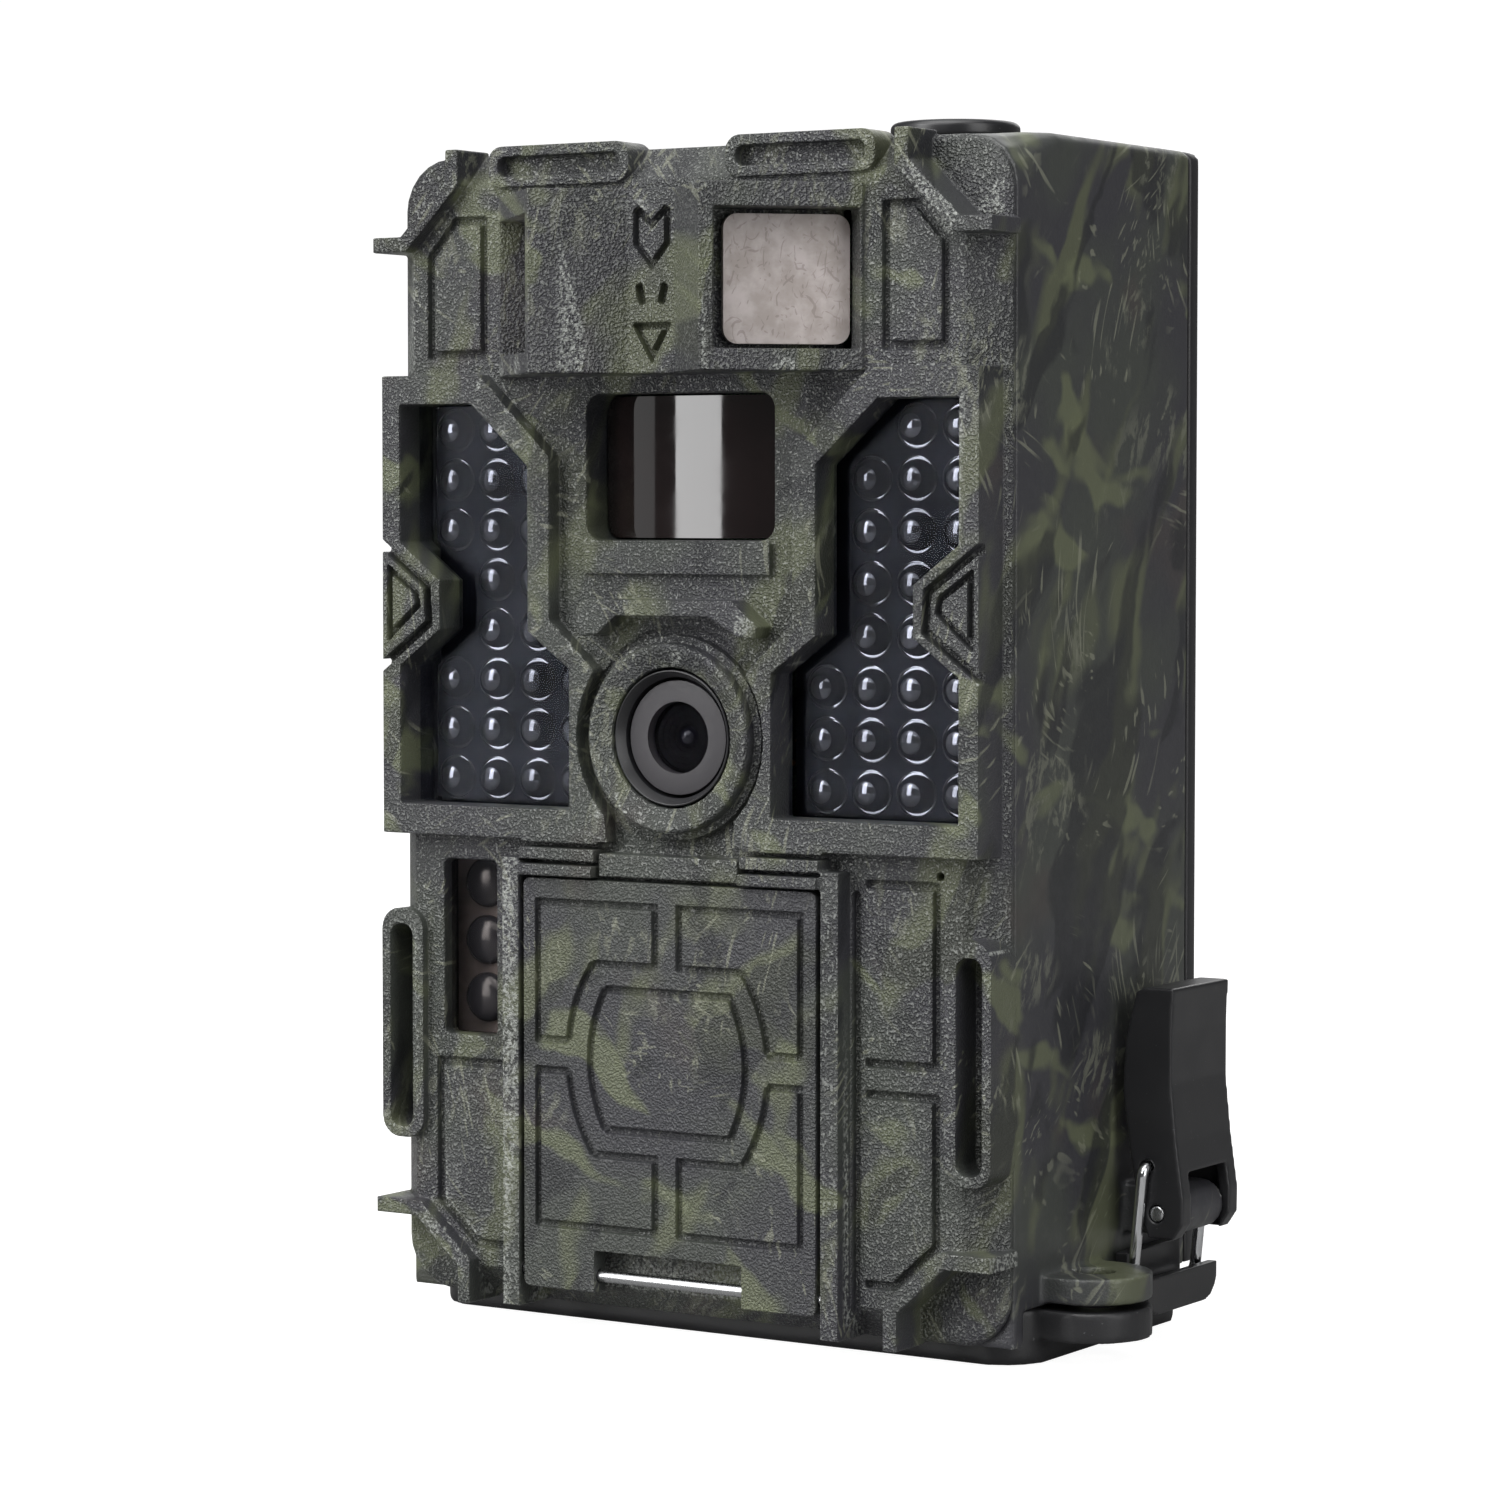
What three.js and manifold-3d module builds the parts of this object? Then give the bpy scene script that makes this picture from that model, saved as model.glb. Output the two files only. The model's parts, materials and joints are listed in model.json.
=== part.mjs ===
// Trail camera: camouflage housing with infrared lamps, motion sensors, a lens, a flip-down
// front door over the display, and a hinged bottom cover held by a toggle latch.
// Millimetres, +Z up, the lens looks along -Y, X = 0 is the centre plane of the housing.
// The origin is on the underside of the bottom cover.

import * as THREE from 'three';
import { mergeVertices } from 'three/addons/utils/BufferGeometryUtils.js';
import Module from 'manifold-3d';

const wasm = await Module();
wasm.setup();

// ---------------------------------------------------------------- driving dimensions

const BODY_HALF_WIDTH = 43.6;
const BODY_TOP = 144.4;          // top of the front bezel
const HOUSING_TOP = 145.0;       // top of the housing behind it
const BODY_BOTTOM = 2.8;
const BODY_CORNER = 6;
const REAR_CORNER = 1.5;
const FRONT_PLANE = -26;         // Y of the flat of the front bezel
const BEZEL_DEPTH = 4.6;         // front plane to the bezel's rear edge
const BEZEL_CHAMFER = 4.1;
const BEZEL_WALL = 2.6;
const HOUSING_WALL = 2.4;
const HOUSING_START = 4.9;       // depths below are counted back from the front plane
const HOUSING_END = 48.1;
const HOUSING_FOOT = 7.0;        // underside of the side walls, where the bottom cover starts
const REAR_COVER_END = 50.8;
const GAP = 0.3;                 // play between neighbouring pieces
const ROUND = 20;                // sides of an ordinary round piece

const FRAME_RISE = 2.4;          // lamp frames stand this far proud of the front plane
const DOOR_RISE = 2.8;
const LENS_HEIGHT = 73.5;
const SENSOR_HEIGHT = 127.8;
const LAMP_PITCH = 6.18;
const DOOR_HALF_WIDTH = 21.1;
const DOOR_BOTTOM = 5.6;
const DOOR_TOP = 56.0;
const DOOR_PIN = { depth: -1.5, height: 7.55, radius: 0.75, half: 22.6 };
const COVER_PIN = { x: -46.4, height: 6.9, radius: 1.0, near: 14, far: 44 };
const LATCH_PIN = { x: 49.7, height: 16.2, radius: 1.0 };
const BAIL_HOLE = { x: 48.4, height: 21.8 };
const BAIL_CROSSBAR = { x: 46.9, height: 6.9 };
const BAIL_WIRE = 0.7;           // wire radius
const LATCH = { front: 28.8, rear: 43.6, plate: 1.6, top: 43.5 };
const CELL = { radius: 7.05, length: 50.0, pitch: 14.6 };

// ---------------------------------------------------------------- solids

function toSolid(geometry) {
  const bare = geometry.clone();
  bare.deleteAttribute('normal');
  bare.deleteAttribute('uv');
  const welded = mergeVertices(bare, 1e-4);
  const vertProperties = Float32Array.from(welded.attributes.position.array);
  const triVerts = Uint32Array.from(welded.index.array);
  return new wasm.Manifold(new wasm.Mesh({ numProp: 3, vertProperties, triVerts }));
}

function toGeometry(solid) {
  const mesh = solid.getMesh();
  const geometry = new THREE.BufferGeometry();
  geometry.setAttribute('position', new THREE.BufferAttribute(mesh.vertProperties, 3));
  geometry.setIndex(new THREE.BufferAttribute(mesh.triVerts, 1));
  geometry.computeVertexNormals();
  return geometry;
}

function joined(...solids) {
  return solids.flat().reduce((all, next) => all.add(next));
}

function cut(solid, ...tools) {
  return tools.flat().reduce((left, tool) => left.subtract(tool), solid);
}

function outlineShape(points) {
  return new THREE.Shape(points.map(([a, b]) => new THREE.Vector2(a, b)));
}

function extruded(shape, length, options = {}) {
  const settings = { depth: length, bevelEnabled: false, curveSegments: 3, ...options };
  return new THREE.ExtrudeGeometry(shape, settings);
}

// A slab whose outline lies in X and Z, between two depths behind the front plane.
function slab(shape, nearDepth, farDepth) {
  const geometry = extruded(shape, farDepth - nearDepth);
  geometry.rotateX(Math.PI / 2);
  geometry.translate(0, FRONT_PLANE + farDepth, 0);
  return toSolid(geometry);
}

// A prism whose outline lies in X and depth, between two heights.
function column(points, low, high) {
  const shape = outlineShape(points.map(([x, depth]) => [x, FRONT_PLANE + depth]));
  const geometry = extruded(shape, high - low);
  geometry.translate(0, 0, low);
  return toSolid(geometry);
}

function block(x0, x1, depth0, depth1, z0, z1) {
  const geometry = new THREE.BoxGeometry(x1 - x0, depth1 - depth0, z1 - z0);
  geometry.translate((x0 + x1) / 2, FRONT_PLANE + (depth0 + depth1) / 2, (z0 + z1) / 2);
  return toSolid(geometry);
}

function drum(radius, length, sides = ROUND) {
  return new THREE.CylinderGeometry(radius, radius, length, sides);
}

// Round bars along each axis, from one coordinate to another.
function barAlongX(radius, x0, x1, depth, z, sides = ROUND) {
  const geometry = drum(radius, x1 - x0, sides);
  geometry.rotateZ(Math.PI / 2);
  geometry.translate((x0 + x1) / 2, FRONT_PLANE + depth, z);
  return toSolid(geometry);
}

function barAlongY(radius, x, depth0, depth1, z, sides = ROUND) {
  const geometry = drum(radius, depth1 - depth0, sides);
  geometry.translate(x, FRONT_PLANE + (depth0 + depth1) / 2, z);
  return toSolid(geometry);
}

function barAlongZ(radius, x, depth, z0, z1, sides = ROUND) {
  const geometry = drum(radius, z1 - z0, sides);
  geometry.rotateX(Math.PI / 2);
  geometry.translate(x, FRONT_PLANE + depth, (z0 + z1) / 2);
  return toSolid(geometry);
}

// Round bars on the axes of the door's pin, the cover's pin and the latch's pin.
function doorPinBar(radius, half) {
  return barAlongX(radius, -half, half, DOOR_PIN.depth, DOOR_PIN.height, 16);
}

function coverPinBar(radius, extra) {
  const { x, height, near, far } = COVER_PIN;
  return barAlongY(radius, x, near - extra, far + extra, height);
}

function latchPinBar(radius, extra) {
  const { x, height } = LATCH_PIN;
  return barAlongY(radius, x, LATCH.front - extra, LATCH.rear + extra, height);
}

// A turned piece about an axis along Y; the profile is [radius, depth] points.
function turned(profile, x, z, sides = 32) {
  const points = profile.map(([radius, depth]) => new THREE.Vector2(radius, FRONT_PLANE + depth));
  const geometry = new THREE.LatheGeometry(points, sides);
  geometry.translate(x, 0, z);
  return facingOut(geometry);
}

// A turned piece about an axis along Z; the profile is [radius, height] points.
function turnedUpright(profile, x, depth, sides = 32) {
  const points = profile.map(([radius, height]) => new THREE.Vector2(radius, height));
  const geometry = new THREE.LatheGeometry(points, sides);
  geometry.rotateX(Math.PI / 2);
  geometry.translate(x, FRONT_PLANE + depth, 0);
  return facingOut(geometry);
}

// Turns a closed surface the right way out when its profile ran the other way.
function facingOut(geometry) {
  const bare = geometry.clone();
  bare.deleteAttribute('normal');
  bare.deleteAttribute('uv');
  const welded = mergeVertices(bare, 1e-4);
  const index = welded.index.array;
  const kept = [];
  for (let i = 0; i < index.length; i += 3) {
    const [a, b, c] = [index[i], index[i + 1], index[i + 2]];
    if (a !== b && b !== c && c !== a) kept.push(a, b, c);
  }
  welded.setIndex(kept);
  if (signedVolume(welded) < 0) {
    for (let i = 0; i < kept.length; i += 3) [kept[i], kept[i + 1]] = [kept[i + 1], kept[i]];
    welded.setIndex(kept);
  }
  return toSolid(welded);
}

function signedVolume(geometry) {
  const position = geometry.attributes.position;
  const index = geometry.index.array;
  const corner = [new THREE.Vector3(), new THREE.Vector3(), new THREE.Vector3()];
  let volume = 0;
  for (let i = 0; i < index.length; i += 3) {
    corner.forEach((point, n) => point.fromBufferAttribute(position, index[i + n]));
    volume += corner[0].dot(corner[1].clone().cross(corner[2])) / 6;
  }
  return volume;
}

function roundedRectangle(x0, x1, z0, z1, radius) {
  const shape = new THREE.Shape();
  shape.moveTo(x0 + radius, z0);
  shape.lineTo(x1 - radius, z0);
  shape.absarc(x1 - radius, z0 + radius, radius, -Math.PI / 2, 0, false);
  shape.lineTo(x1, z1 - radius);
  shape.absarc(x1 - radius, z1 - radius, radius, 0, Math.PI / 2, false);
  shape.lineTo(x0 + radius, z1);
  shape.absarc(x0 + radius, z1 - radius, radius, Math.PI / 2, Math.PI, false);
  shape.lineTo(x0, z0 + radius);
  shape.absarc(x0 + radius, z0 + radius, radius, Math.PI, 1.5 * Math.PI, false);
  return shape;
}

function mirroredPoints(points) {
  return points.map(([x, z]) => [-x, z]).reverse();
}

// The points of a band of constant width that follows an open line.
function band(line, width) {
  const side = (sign) => line.map((point, i) => {
    const before = line[Math.max(i - 1, 0)];
    const after = line[Math.min(i + 1, line.length - 1)];
    const into = new THREE.Vector2(point[0] - before[0], point[1] - before[1]).normalize();
    const out = new THREE.Vector2(after[0] - point[0], after[1] - point[1]).normalize();
    if (i === 0) into.copy(out);
    if (i === line.length - 1) out.copy(into);
    const tangent = into.clone().add(out).normalize();
    const stretch = 1 / Math.max(tangent.dot(into), 0.3);
    const reach = sign * stretch * width / 2;
    return [point[0] - tangent.y * reach, point[1] + tangent.x * reach];
  });
  return [...side(-1), ...side(1).reverse()];
}

function bandSlab(line, width, nearDepth, farDepth) {
  return slab(outlineShape(band(line, width)), nearDepth, farDepth);
}

// The same band on both sides of the centre plane.
function bandPair(line, width, nearDepth, farDepth) {
  const mirrored = line.map(([x, z]) => [-x, z]);
  return [bandSlab(line, width, nearDepth, farDepth), bandSlab(mirrored, width, nearDepth, farDepth)];
}

function slabPair(points, nearDepth, farDepth) {
  return [
    slab(outlineShape(points), nearDepth, farDepth),
    slab(outlineShape(mirroredPoints(points)), nearDepth, farDepth),
  ];
}

// A closed outline moved inwards; the points run counter-clockwise.
function insetOutline(points, inset) {
  return points.map((point, i) => {
    const before = points[(i + points.length - 1) % points.length];
    const after = points[(i + 1) % points.length];
    const into = new THREE.Vector2(point[0] - before[0], point[1] - before[1]).normalize();
    const out = new THREE.Vector2(after[0] - point[0], after[1] - point[1]).normalize();
    const tangent = into.clone().add(out).normalize();
    const reach = inset / Math.max(tangent.dot(into), 0.3);
    return [point[0] - tangent.y * reach, point[1] + tangent.x * reach];
  });
}

// A groove or ridge that follows a closed, counter-clockwise outline.
function ringSlab(points, width, nearDepth, farDepth) {
  const outer = outlineShape(insetOutline(points, -width / 2));
  const inner = outlineShape(insetOutline(points, width / 2));
  return cut(slab(outer, nearDepth, farDepth), slab(inner, nearDepth - 1, farDepth + 1));
}

function ringPair(points, width, nearDepth, farDepth) {
  return [
    ringSlab(points, width, nearDepth, farDepth),
    ringSlab(mirroredPoints(points), width, nearDepth, farDepth),
  ];
}

function arcLine(from, to, bulge, steps = 6) {
  const points = [];
  const along = new THREE.Vector2(to[0] - from[0], to[1] - from[1]);
  const across = new THREE.Vector2(-along.y, along.x).normalize();
  for (let i = 0; i <= steps; i += 1) {
    const t = i / steps;
    const lift = 4 * bulge * t * (1 - t);
    points.push([from[0] + along.x * t + across.x * lift, from[1] + along.y * t + across.y * lift]);
  }
  return points;
}

// ---------------------------------------------------------------- materials

function plastic(colour, roughness = 0.55) {
  return new THREE.MeshStandardMaterial({ color: colour, roughness, metalness: 0 });
}

function metal(colour, roughness = 0.3) {
  return new THREE.MeshStandardMaterial({ color: colour, roughness, metalness: 1 });
}

const camo = plastic(0x3b4036, 0.6);
const black = plastic(0x232425, 0.5);
const darkGlass = plastic(0x0c0d11, 0.08);
const frosted = plastic(0xb5aba9, 0.45);
const circuit = plastic(0x14281c, 0.5);
const chrome = metal(0xd2d4d6, 0.15);
const steel = metal(0xa8aaab, 0.3);
const brass = metal(0xb08d4a, 0.35);
const rubber = plastic(0x1b1b1b, 0.85);
const keyGrey = plastic(0x5c6063, 0.6);
const cellWrap = plastic(0x2f5f8a, 0.35);
const lensGrey = plastic(0x444247, 0.45);
const clear = plastic(0x9fb0b8, 0.05);

const camera = new THREE.Group();

function addPiece(name, solid, material) {
  const mesh = new THREE.Mesh(toGeometry(solid), material);
  mesh.name = name;
  camera.add(mesh);
}

// ---------------------------------------------------------------- front bezel

// One hourglass-shaped lamp window on the +X side, counter-clockwise from its lower inner corner.
const LAMP_WINDOW = [
  [14.5, 64.4], [40.0, 64.4], [40.0, 81.5], [33.9, 86.1], [33.9, 92.1], [40.0, 96.8],
  [40.0, 113.8], [29.1, 113.8], [20.7, 106.2], [20.7, 86.1], [14.5, 81.5],
];
const LAMP_FRAME = [
  [9.0, 60.6], [42.7, 60.6], [42.7, 117.4], [27.9, 117.4], [17.4, 107.3], [17.4, 87.4], [11.0, 81.6],
];
const LENS_RING = { moat: 13.4, flange: 12.4, ring: 11.5, crest: 10.7, bore: 8.5 };
const WINDOW = { half: 13.5, low: 97.2, high: 114.8, corner: 2.0, well: 6.0, wall: 1.6 };
const TURRET = { low: 117.0, high: 138.9, ridge: [12.1, -14.2], end: [26.1, -0.5], strip: [3.3, -5.9] };
const SENSOR = { along: 11.3, size: 15.2, corner: 1.7, thick: 1.1, sunk: 3.9, can: 4.6 };
const SENSOR_RECESS = { along: 10.5, width: 17.4, height: 16.4, depth: 5.3, hole: 12 };
const STATUS = { x0: -35.1, x1: -27.1, low: 35.7, high: 57.5, board: 5.8, eye: 2.9 };
const LOOP = { x0: 37.5, x1: 43.9, low: 22.3, high: 51.1, rise: 1.3 };
const CORNER_PLATE_DEPTH = 3.6;
const PAD = { near: 10.5, far: 21.5, rib: 1.4 };
const CHIN_BAR = { half: 13.4, low: 93.1, high: 96.9, rise: 0.9 };
const DOOR_BAR = { half: 10.0, low: 56.5, high: 59.3, rise: 2.7 };
const DOOR_RAIL = { x: 22.95, low: 3.0, high: 58.4, width: 2.5, rise: 2.9 };
const DOORWAY = { half: 17, low: 11.5, high: 52 };
const HEEL_ROOM = { half: 21.5, high: 10.4, depth: 1.4 };
const PINHOLE = { x: 36.3, height: 58.3, radius: 0.5 };
const GUARD = { width: 1.9, rise: 2.2 };
const FAR_OUT = 60;              // beyond the object on every side
// The right half of the space behind the bezel's flat, from its lower to its upper corner.
const BEZEL_HOLLOW = [
  [30.8, 9.0], [37.5, 15.1], [37.5, 56.0], [38.8, 56.0], [38.8, 132.2], [32.0, 139.0],
];
const UPPER_GUARD = [[32.1, 145.0], [32.1, 141.0], [39.6, 133.6], [44.2, 133.6]];
const LOWER_GUARD = [[30.8, 2.4], [30.8, 7.4], [37.8, 13.7], [44.2, 13.7]];

function chamferedFront() {
  const half = BODY_HALF_WIDTH - BEZEL_CHAMFER;
  const flatCorner = BODY_CORNER - 3.5;
  const slope = BEZEL_CHAMFER + 0.1;
  const shape = roundedRectangle(
    -half, half, BODY_BOTTOM + BEZEL_CHAMFER, BODY_TOP - BEZEL_CHAMFER, flatCorner);
  const geometry = extruded(shape, BEZEL_DEPTH, {
    bevelEnabled: true, bevelThickness: slope, bevelSize: BEZEL_CHAMFER, bevelSegments: 1,
  });
  geometry.rotateX(Math.PI / 2);
  geometry.translate(0, FRONT_PLANE + BEZEL_DEPTH + slope, 0);
  const behind = block(-80, 80, BEZEL_DEPTH, BEZEL_DEPTH + 20, -20, 170);
  return cut(toSolid(geometry), behind);
}

function turretOutline() {
  const right = [[TURRET.end[0], 2], TURRET.end, TURRET.ridge, TURRET.strip];
  const left = right.map(([x, depth]) => [-x, depth]).reverse();
  return [...right, ...left];
}

function turretHollow() {
  const right = [[19.5, BEZEL_DEPTH + 1], [19.5, 2.2], [8.7, -8.4], [3.6, -3.6]];
  const left = right.map(([x, depth]) => [-x, depth]).reverse();
  return column([...right, ...left], TURRET.low + 2, TURRET.high - 2);
}

// Places a piece made around the origin on an outer face of the turret: local X along the
// face away from the ridge, local -Y out of the face, local Z up.
function ontoTurretFace(solid, side, alongFace) {
  const [ridgeX, ridgeDepth] = TURRET.ridge;
  const [endX, endDepth] = TURRET.end;
  const angle = Math.atan2(endDepth - ridgeDepth, endX - ridgeX);
  const length = Math.hypot(endX - ridgeX, endDepth - ridgeDepth);
  const share = alongFace / length;
  const x = side * (ridgeX + (endX - ridgeX) * share);
  const y = FRONT_PLANE + ridgeDepth + (endDepth - ridgeDepth) * share;
  const turn = side > 0 ? angle : -angle;
  return solid.rotate([0, 0, THREE.MathUtils.radToDeg(turn)]).translate([x, y, SENSOR_HEIGHT]);
}

function localBox(width, depth0, depth1, height) {
  const geometry = new THREE.BoxGeometry(width, depth1 - depth0, height);
  geometry.translate(0, (depth0 + depth1) / 2, 0);
  return toSolid(geometry);
}

function sensorRecess(side) {
  const pocket = localBox(SENSOR_RECESS.width, -2, SENSOR_RECESS.depth, SENSOR_RECESS.height);
  const through = localBox(SENSOR_RECESS.hole, 0, 8, SENSOR_RECESS.hole);
  return [
    ontoTurretFace(pocket, side, SENSOR_RECESS.along),
    ontoTurretFace(through, side, SENSOR.along),
  ];
}

// Engraved direction marks down the valley of the turret.
function turretMarks() {
  const [halfStrip, stripDepth] = TURRET.strip;
  const near = stripDepth - 1;
  const far = stripDepth + 1.3;
  const wide = halfStrip - 1.1;
  const line = 0.8;
  const shield = [[-wide, 136.6], [-wide, 132.4], [0, 129.8], [wide, 132.4], [wide, 136.6]];
  const arrow = [[0, 118.9], [wide, 122.6], [-wide, 122.6]];
  return [
    bandSlab(shield, line, near, far),
    bandSlab([[-wide, 136.6], [0, 134.6], [wide, 136.6]], line, near, far),
    ...bandPair([[1.9, 127.6], [1.3, 125.2]], line + 0.2, near, far),
    ringSlab(arrow, line, near, far),
  ];
}

function lensRing() {
  const profile = [
    [LENS_RING.flange, BEZEL_WALL], [LENS_RING.flange, -1.0], [LENS_RING.ring, -1.0],
    [LENS_RING.ring, -2.5], [LENS_RING.ring - 0.3, -2.9], [LENS_RING.crest, -2.9],
    [LENS_RING.bore, -1.9], [LENS_RING.bore, BEZEL_WALL], [LENS_RING.flange, BEZEL_WALL],
  ];
  return turned(profile, 0, LENS_HEIGHT, 32);
}

// A closed strap-like rim with a deep pocket, on the bezel's side edge.
function sideLoop(side) {
  const [x0, x1] = side > 0 ? [LOOP.x0, LOOP.x1] : [-LOOP.x1, -LOOP.x0];
  return slab(roundedRectangle(x0, x1, LOOP.low, LOOP.high, 2.6), -LOOP.rise, BEZEL_DEPTH);
}

function sideLoopPocket(side) {
  const near = LOOP.x0 + 1.7;
  const far = LOOP.x1 - 1.3;
  const [x0, x1] = side > 0 ? [near, far] : [-far, -near];
  return slab(roundedRectangle(x0, x1, LOOP.low + 1.4, LOOP.high - 2.0, 1.4), -LOOP.rise - 1, 3.6);
}

function topLoop(side) {
  const [x0, x1] = side > 0 ? [6.9, 27.7] : [-27.7, -6.9];
  return slab(roundedRectangle(x0, x1, 140.2, 145.2, 1.9), -0.6, BEZEL_DEPTH);
}

function topLoopPocket(side) {
  const [x0, x1] = side > 0 ? [8.3, 26.3] : [-26.3, -8.3];
  return slab(roundedRectangle(x0, x1, 141.5, 143.9, 1.1), -2, 1.2);
}

function cornerSpaces() {
  const above = BODY_TOP + FAR_OUT;
  const upper = [
    [33.0, 141.4], [40.0, 134.5], [FAR_OUT, 134.5], [FAR_OUT, above], [33.0, above],
  ];
  const lower = [
    [31.6, 7.0], [31.6, -FAR_OUT], [FAR_OUT, -FAR_OUT], [FAR_OUT, 12.9], [38.1, 12.9],
  ];
  return [
    ...slabPair(upper, -10, CORNER_PLATE_DEPTH),
    ...slabPair([...lower].reverse(), -10, CORNER_PLATE_DEPTH),
  ];
}

function ribbedPads() {
  const steps = [[56.3, 3.7], [58.3, 3.1], [60.3, 2.5], [62.3, 1.9]];
  return [1, -1].flatMap((side) => steps.map(([low, rise]) => {
    const [x0, x1] = side > 0 ? [PAD.near, PAD.far] : [-PAD.far, -PAD.near];
    return block(x0, x1, -rise, 1, low, low + PAD.rib);
  }));
}

const BROW_RISE = 3.4;

function brow() {
  const outline = [
    [-12.9, 87.4], [-12.9, 89.0], [-11.6, 90.1], [9.6, 90.1], [13.2, 87.0], [12.6, 85.6],
    [10.4, 85.8], [6.2, 88.1], [-7.0, 88.1], [-9.8, 85.8], [-12.2, 85.6],
  ];
  return slab(outlineShape(outline.reverse()), -BROW_RISE, 1);
}

const UPPER_PANEL = [[28.8, 119.9], [36.8, 119.9], [36.8, 132.0], [33.0, 136.3], [28.8, 136.3]];

function bezelGrooves() {
  const depth = 1.0;
  const line = 0.95;
  const upperRight = [[26.2, 57.0], [35.8, 57.0], [35.8, 35.9], [26.2, 35.9]];
  const lowerRight = [[26.2, 32.2], [35.8, 32.2], [35.8, 14.8], [30.2, 9.7], [26.2, 9.7]];
  const lowerLeft = lowerRight.map(([x, z]) => [-x, z]);
  return [
    ...ringPair(UPPER_PANEL, line, -1, depth),
    bandSlab(upperRight, line, -1, depth),
    bandSlab(lowerRight, line, -1, depth),
    bandSlab(lowerLeft, line, -1, depth),
    ...bandPair([[24.9, 3], [24.9, 56]], line, -1, depth),
  ];
}

// Arrow marks cut in the outer edge of the lamp frames.
function frameMarks() {
  const chevron = [[43.5, 97.0], [35.9, 91.4], [35.6, 86.8], [43.5, 80.9]];
  const arrow = [[41.6, 93.4], [37.6, 90.6], [37.3, 89.0], [41.6, 85.2]];
  return [
    ...bandPair(chevron, 1.1, -FRAME_RISE - 1, -0.7),
    ...ringPair(arrow, 0.8, -FRAME_RISE - 1, -1.0),
  ];
}

function windowWell() {
  const half = WINDOW.half + WINDOW.wall;
  const low = WINDOW.low - WINDOW.wall;
  const high = WINDOW.high + WINDOW.wall;
  return slab(
    roundedRectangle(-half, half, low, high, WINDOW.corner + WINDOW.wall), 0.5, WINDOW.well);
}

function windowOpening() {
  const shape = roundedRectangle(-WINDOW.half, WINDOW.half, WINDOW.low, WINDOW.high, WINDOW.corner);
  return slab(shape, -3, WINDOW.well + 1);
}

function frontBezel() {
  const shell = cut(
    joined(chamferedFront(), column(turretOutline(), TURRET.low, TURRET.high)),
    cornerSpaces());
  const hollow = [
    slab(
      outlineShape([...BEZEL_HOLLOW, ...mirroredPoints(BEZEL_HOLLOW)]), BEZEL_WALL, BEZEL_DEPTH + 1),
    turretHollow(),
  ];
  const hollowed = cut(shell, hollow);
  const frames = slabPair(LAMP_FRAME, -FRAME_RISE, 2.0);
  const sideEdges = slabPair([[39, 60.6], [42.7, 60.6], [42.7, 117.4], [39, 117.4]], -FRAME_RISE, 4.4);
  const moat = barAlongY(LENS_RING.moat, 0, -5, 0.4, LENS_HEIGHT, 32);
  const framed = cut(joined(hollowed, frames, sideEdges), moat);
  const rail = [[DOOR_RAIL.x, DOOR_RAIL.low], [DOOR_RAIL.x, DOOR_RAIL.high]];
  const raised = joined(
    framed,
    lensRing(),
    windowWell(),
    brow(),
    ribbedPads(),
    block(-CHIN_BAR.half, CHIN_BAR.half, -CHIN_BAR.rise, 1, CHIN_BAR.low, CHIN_BAR.high),
    block(-DOOR_BAR.half, DOOR_BAR.half, -DOOR_BAR.rise, 1, DOOR_BAR.low, DOOR_BAR.high),
    bandPair(rail, DOOR_RAIL.width, -DOOR_RAIL.rise, BEZEL_DEPTH),
    bandPair(UPPER_GUARD, GUARD.width, -GUARD.rise, BEZEL_DEPTH),
    bandPair(LOWER_GUARD, GUARD.width, -GUARD.rise, BEZEL_DEPTH),
    sideLoop(1), sideLoop(-1), topLoop(1), topLoop(-1));
  const doorway = block(
    -DOORWAY.half, DOORWAY.half, -1, BEZEL_DEPTH + 2, DOORWAY.low, DOORWAY.high);
  const heelRoom = block(
    -HEEL_ROOM.half, HEEL_ROOM.half, -3, HEEL_ROOM.depth, DOOR_BOTTOM - 0.6, HEEL_ROOM.high);
  const lensBore = barAlongY(LENS_RING.bore, 0, 0, BEZEL_DEPTH + 2, LENS_HEIGHT, 32);
  const statusOpening = slab(
    roundedRectangle(STATUS.x0, STATUS.x1, STATUS.low, STATUS.high, 0.8), -1, BEZEL_DEPTH);
  return cut(
    raised,
    slabPair(LAMP_WINDOW, -5, BEZEL_DEPTH),
    windowOpening(),
    sensorRecess(1), sensorRecess(-1),
    turretMarks(), frameMarks(), bezelGrooves(),
    sideLoopPocket(1), sideLoopPocket(-1), topLoopPocket(1), topLoopPocket(-1),
    doorway, heelRoom, lensBore, statusOpening,
    doorPinBar(DOOR_PIN.radius + 0.05, DOOR_PIN.half + GAP),
    barAlongY(PINHOLE.radius, PINHOLE.x, -1, BEZEL_DEPTH, PINHOLE.height, 10));
}

// ---------------------------------------------------------------- front windows and sensors

function lampWindow(side) {
  const outline = insetOutline(LAMP_WINDOW, 0.2);
  return slab(outlineShape(side > 0 ? outline : mirroredPoints(outline)), 1.5, BEZEL_WALL);
}

const LAMP_COLUMNS = [18.0, 24.15, 30.3, 36.5];
const LAMP_ROWS = [
  [2, 3], [1, 2, 3], [1, 2, 3], [1, 2], [1, 2], [0, 1, 2, 3], [0, 1, 2, 3], [0, 1, 2, 3],
];
const LAMP_TOP_ROW = 110.7;

function lampBoard(side) {
  const board = insetOutline(LAMP_WINDOW, 0.4);
  const plate = slab(outlineShape(side > 0 ? board : mirroredPoints(board)), 4.9, 6.3);
  const lamps = LAMP_ROWS.flatMap((columns, row) => columns.map((n) => turned(
    [[0, 5.2], [1.45, 5.2], [1.45, 3.6], [0, 3.0]],
    side * LAMP_COLUMNS[n], LAMP_TOP_ROW - row * LAMP_PITCH, 7)));
  return joined(plate, lamps);
}

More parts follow.
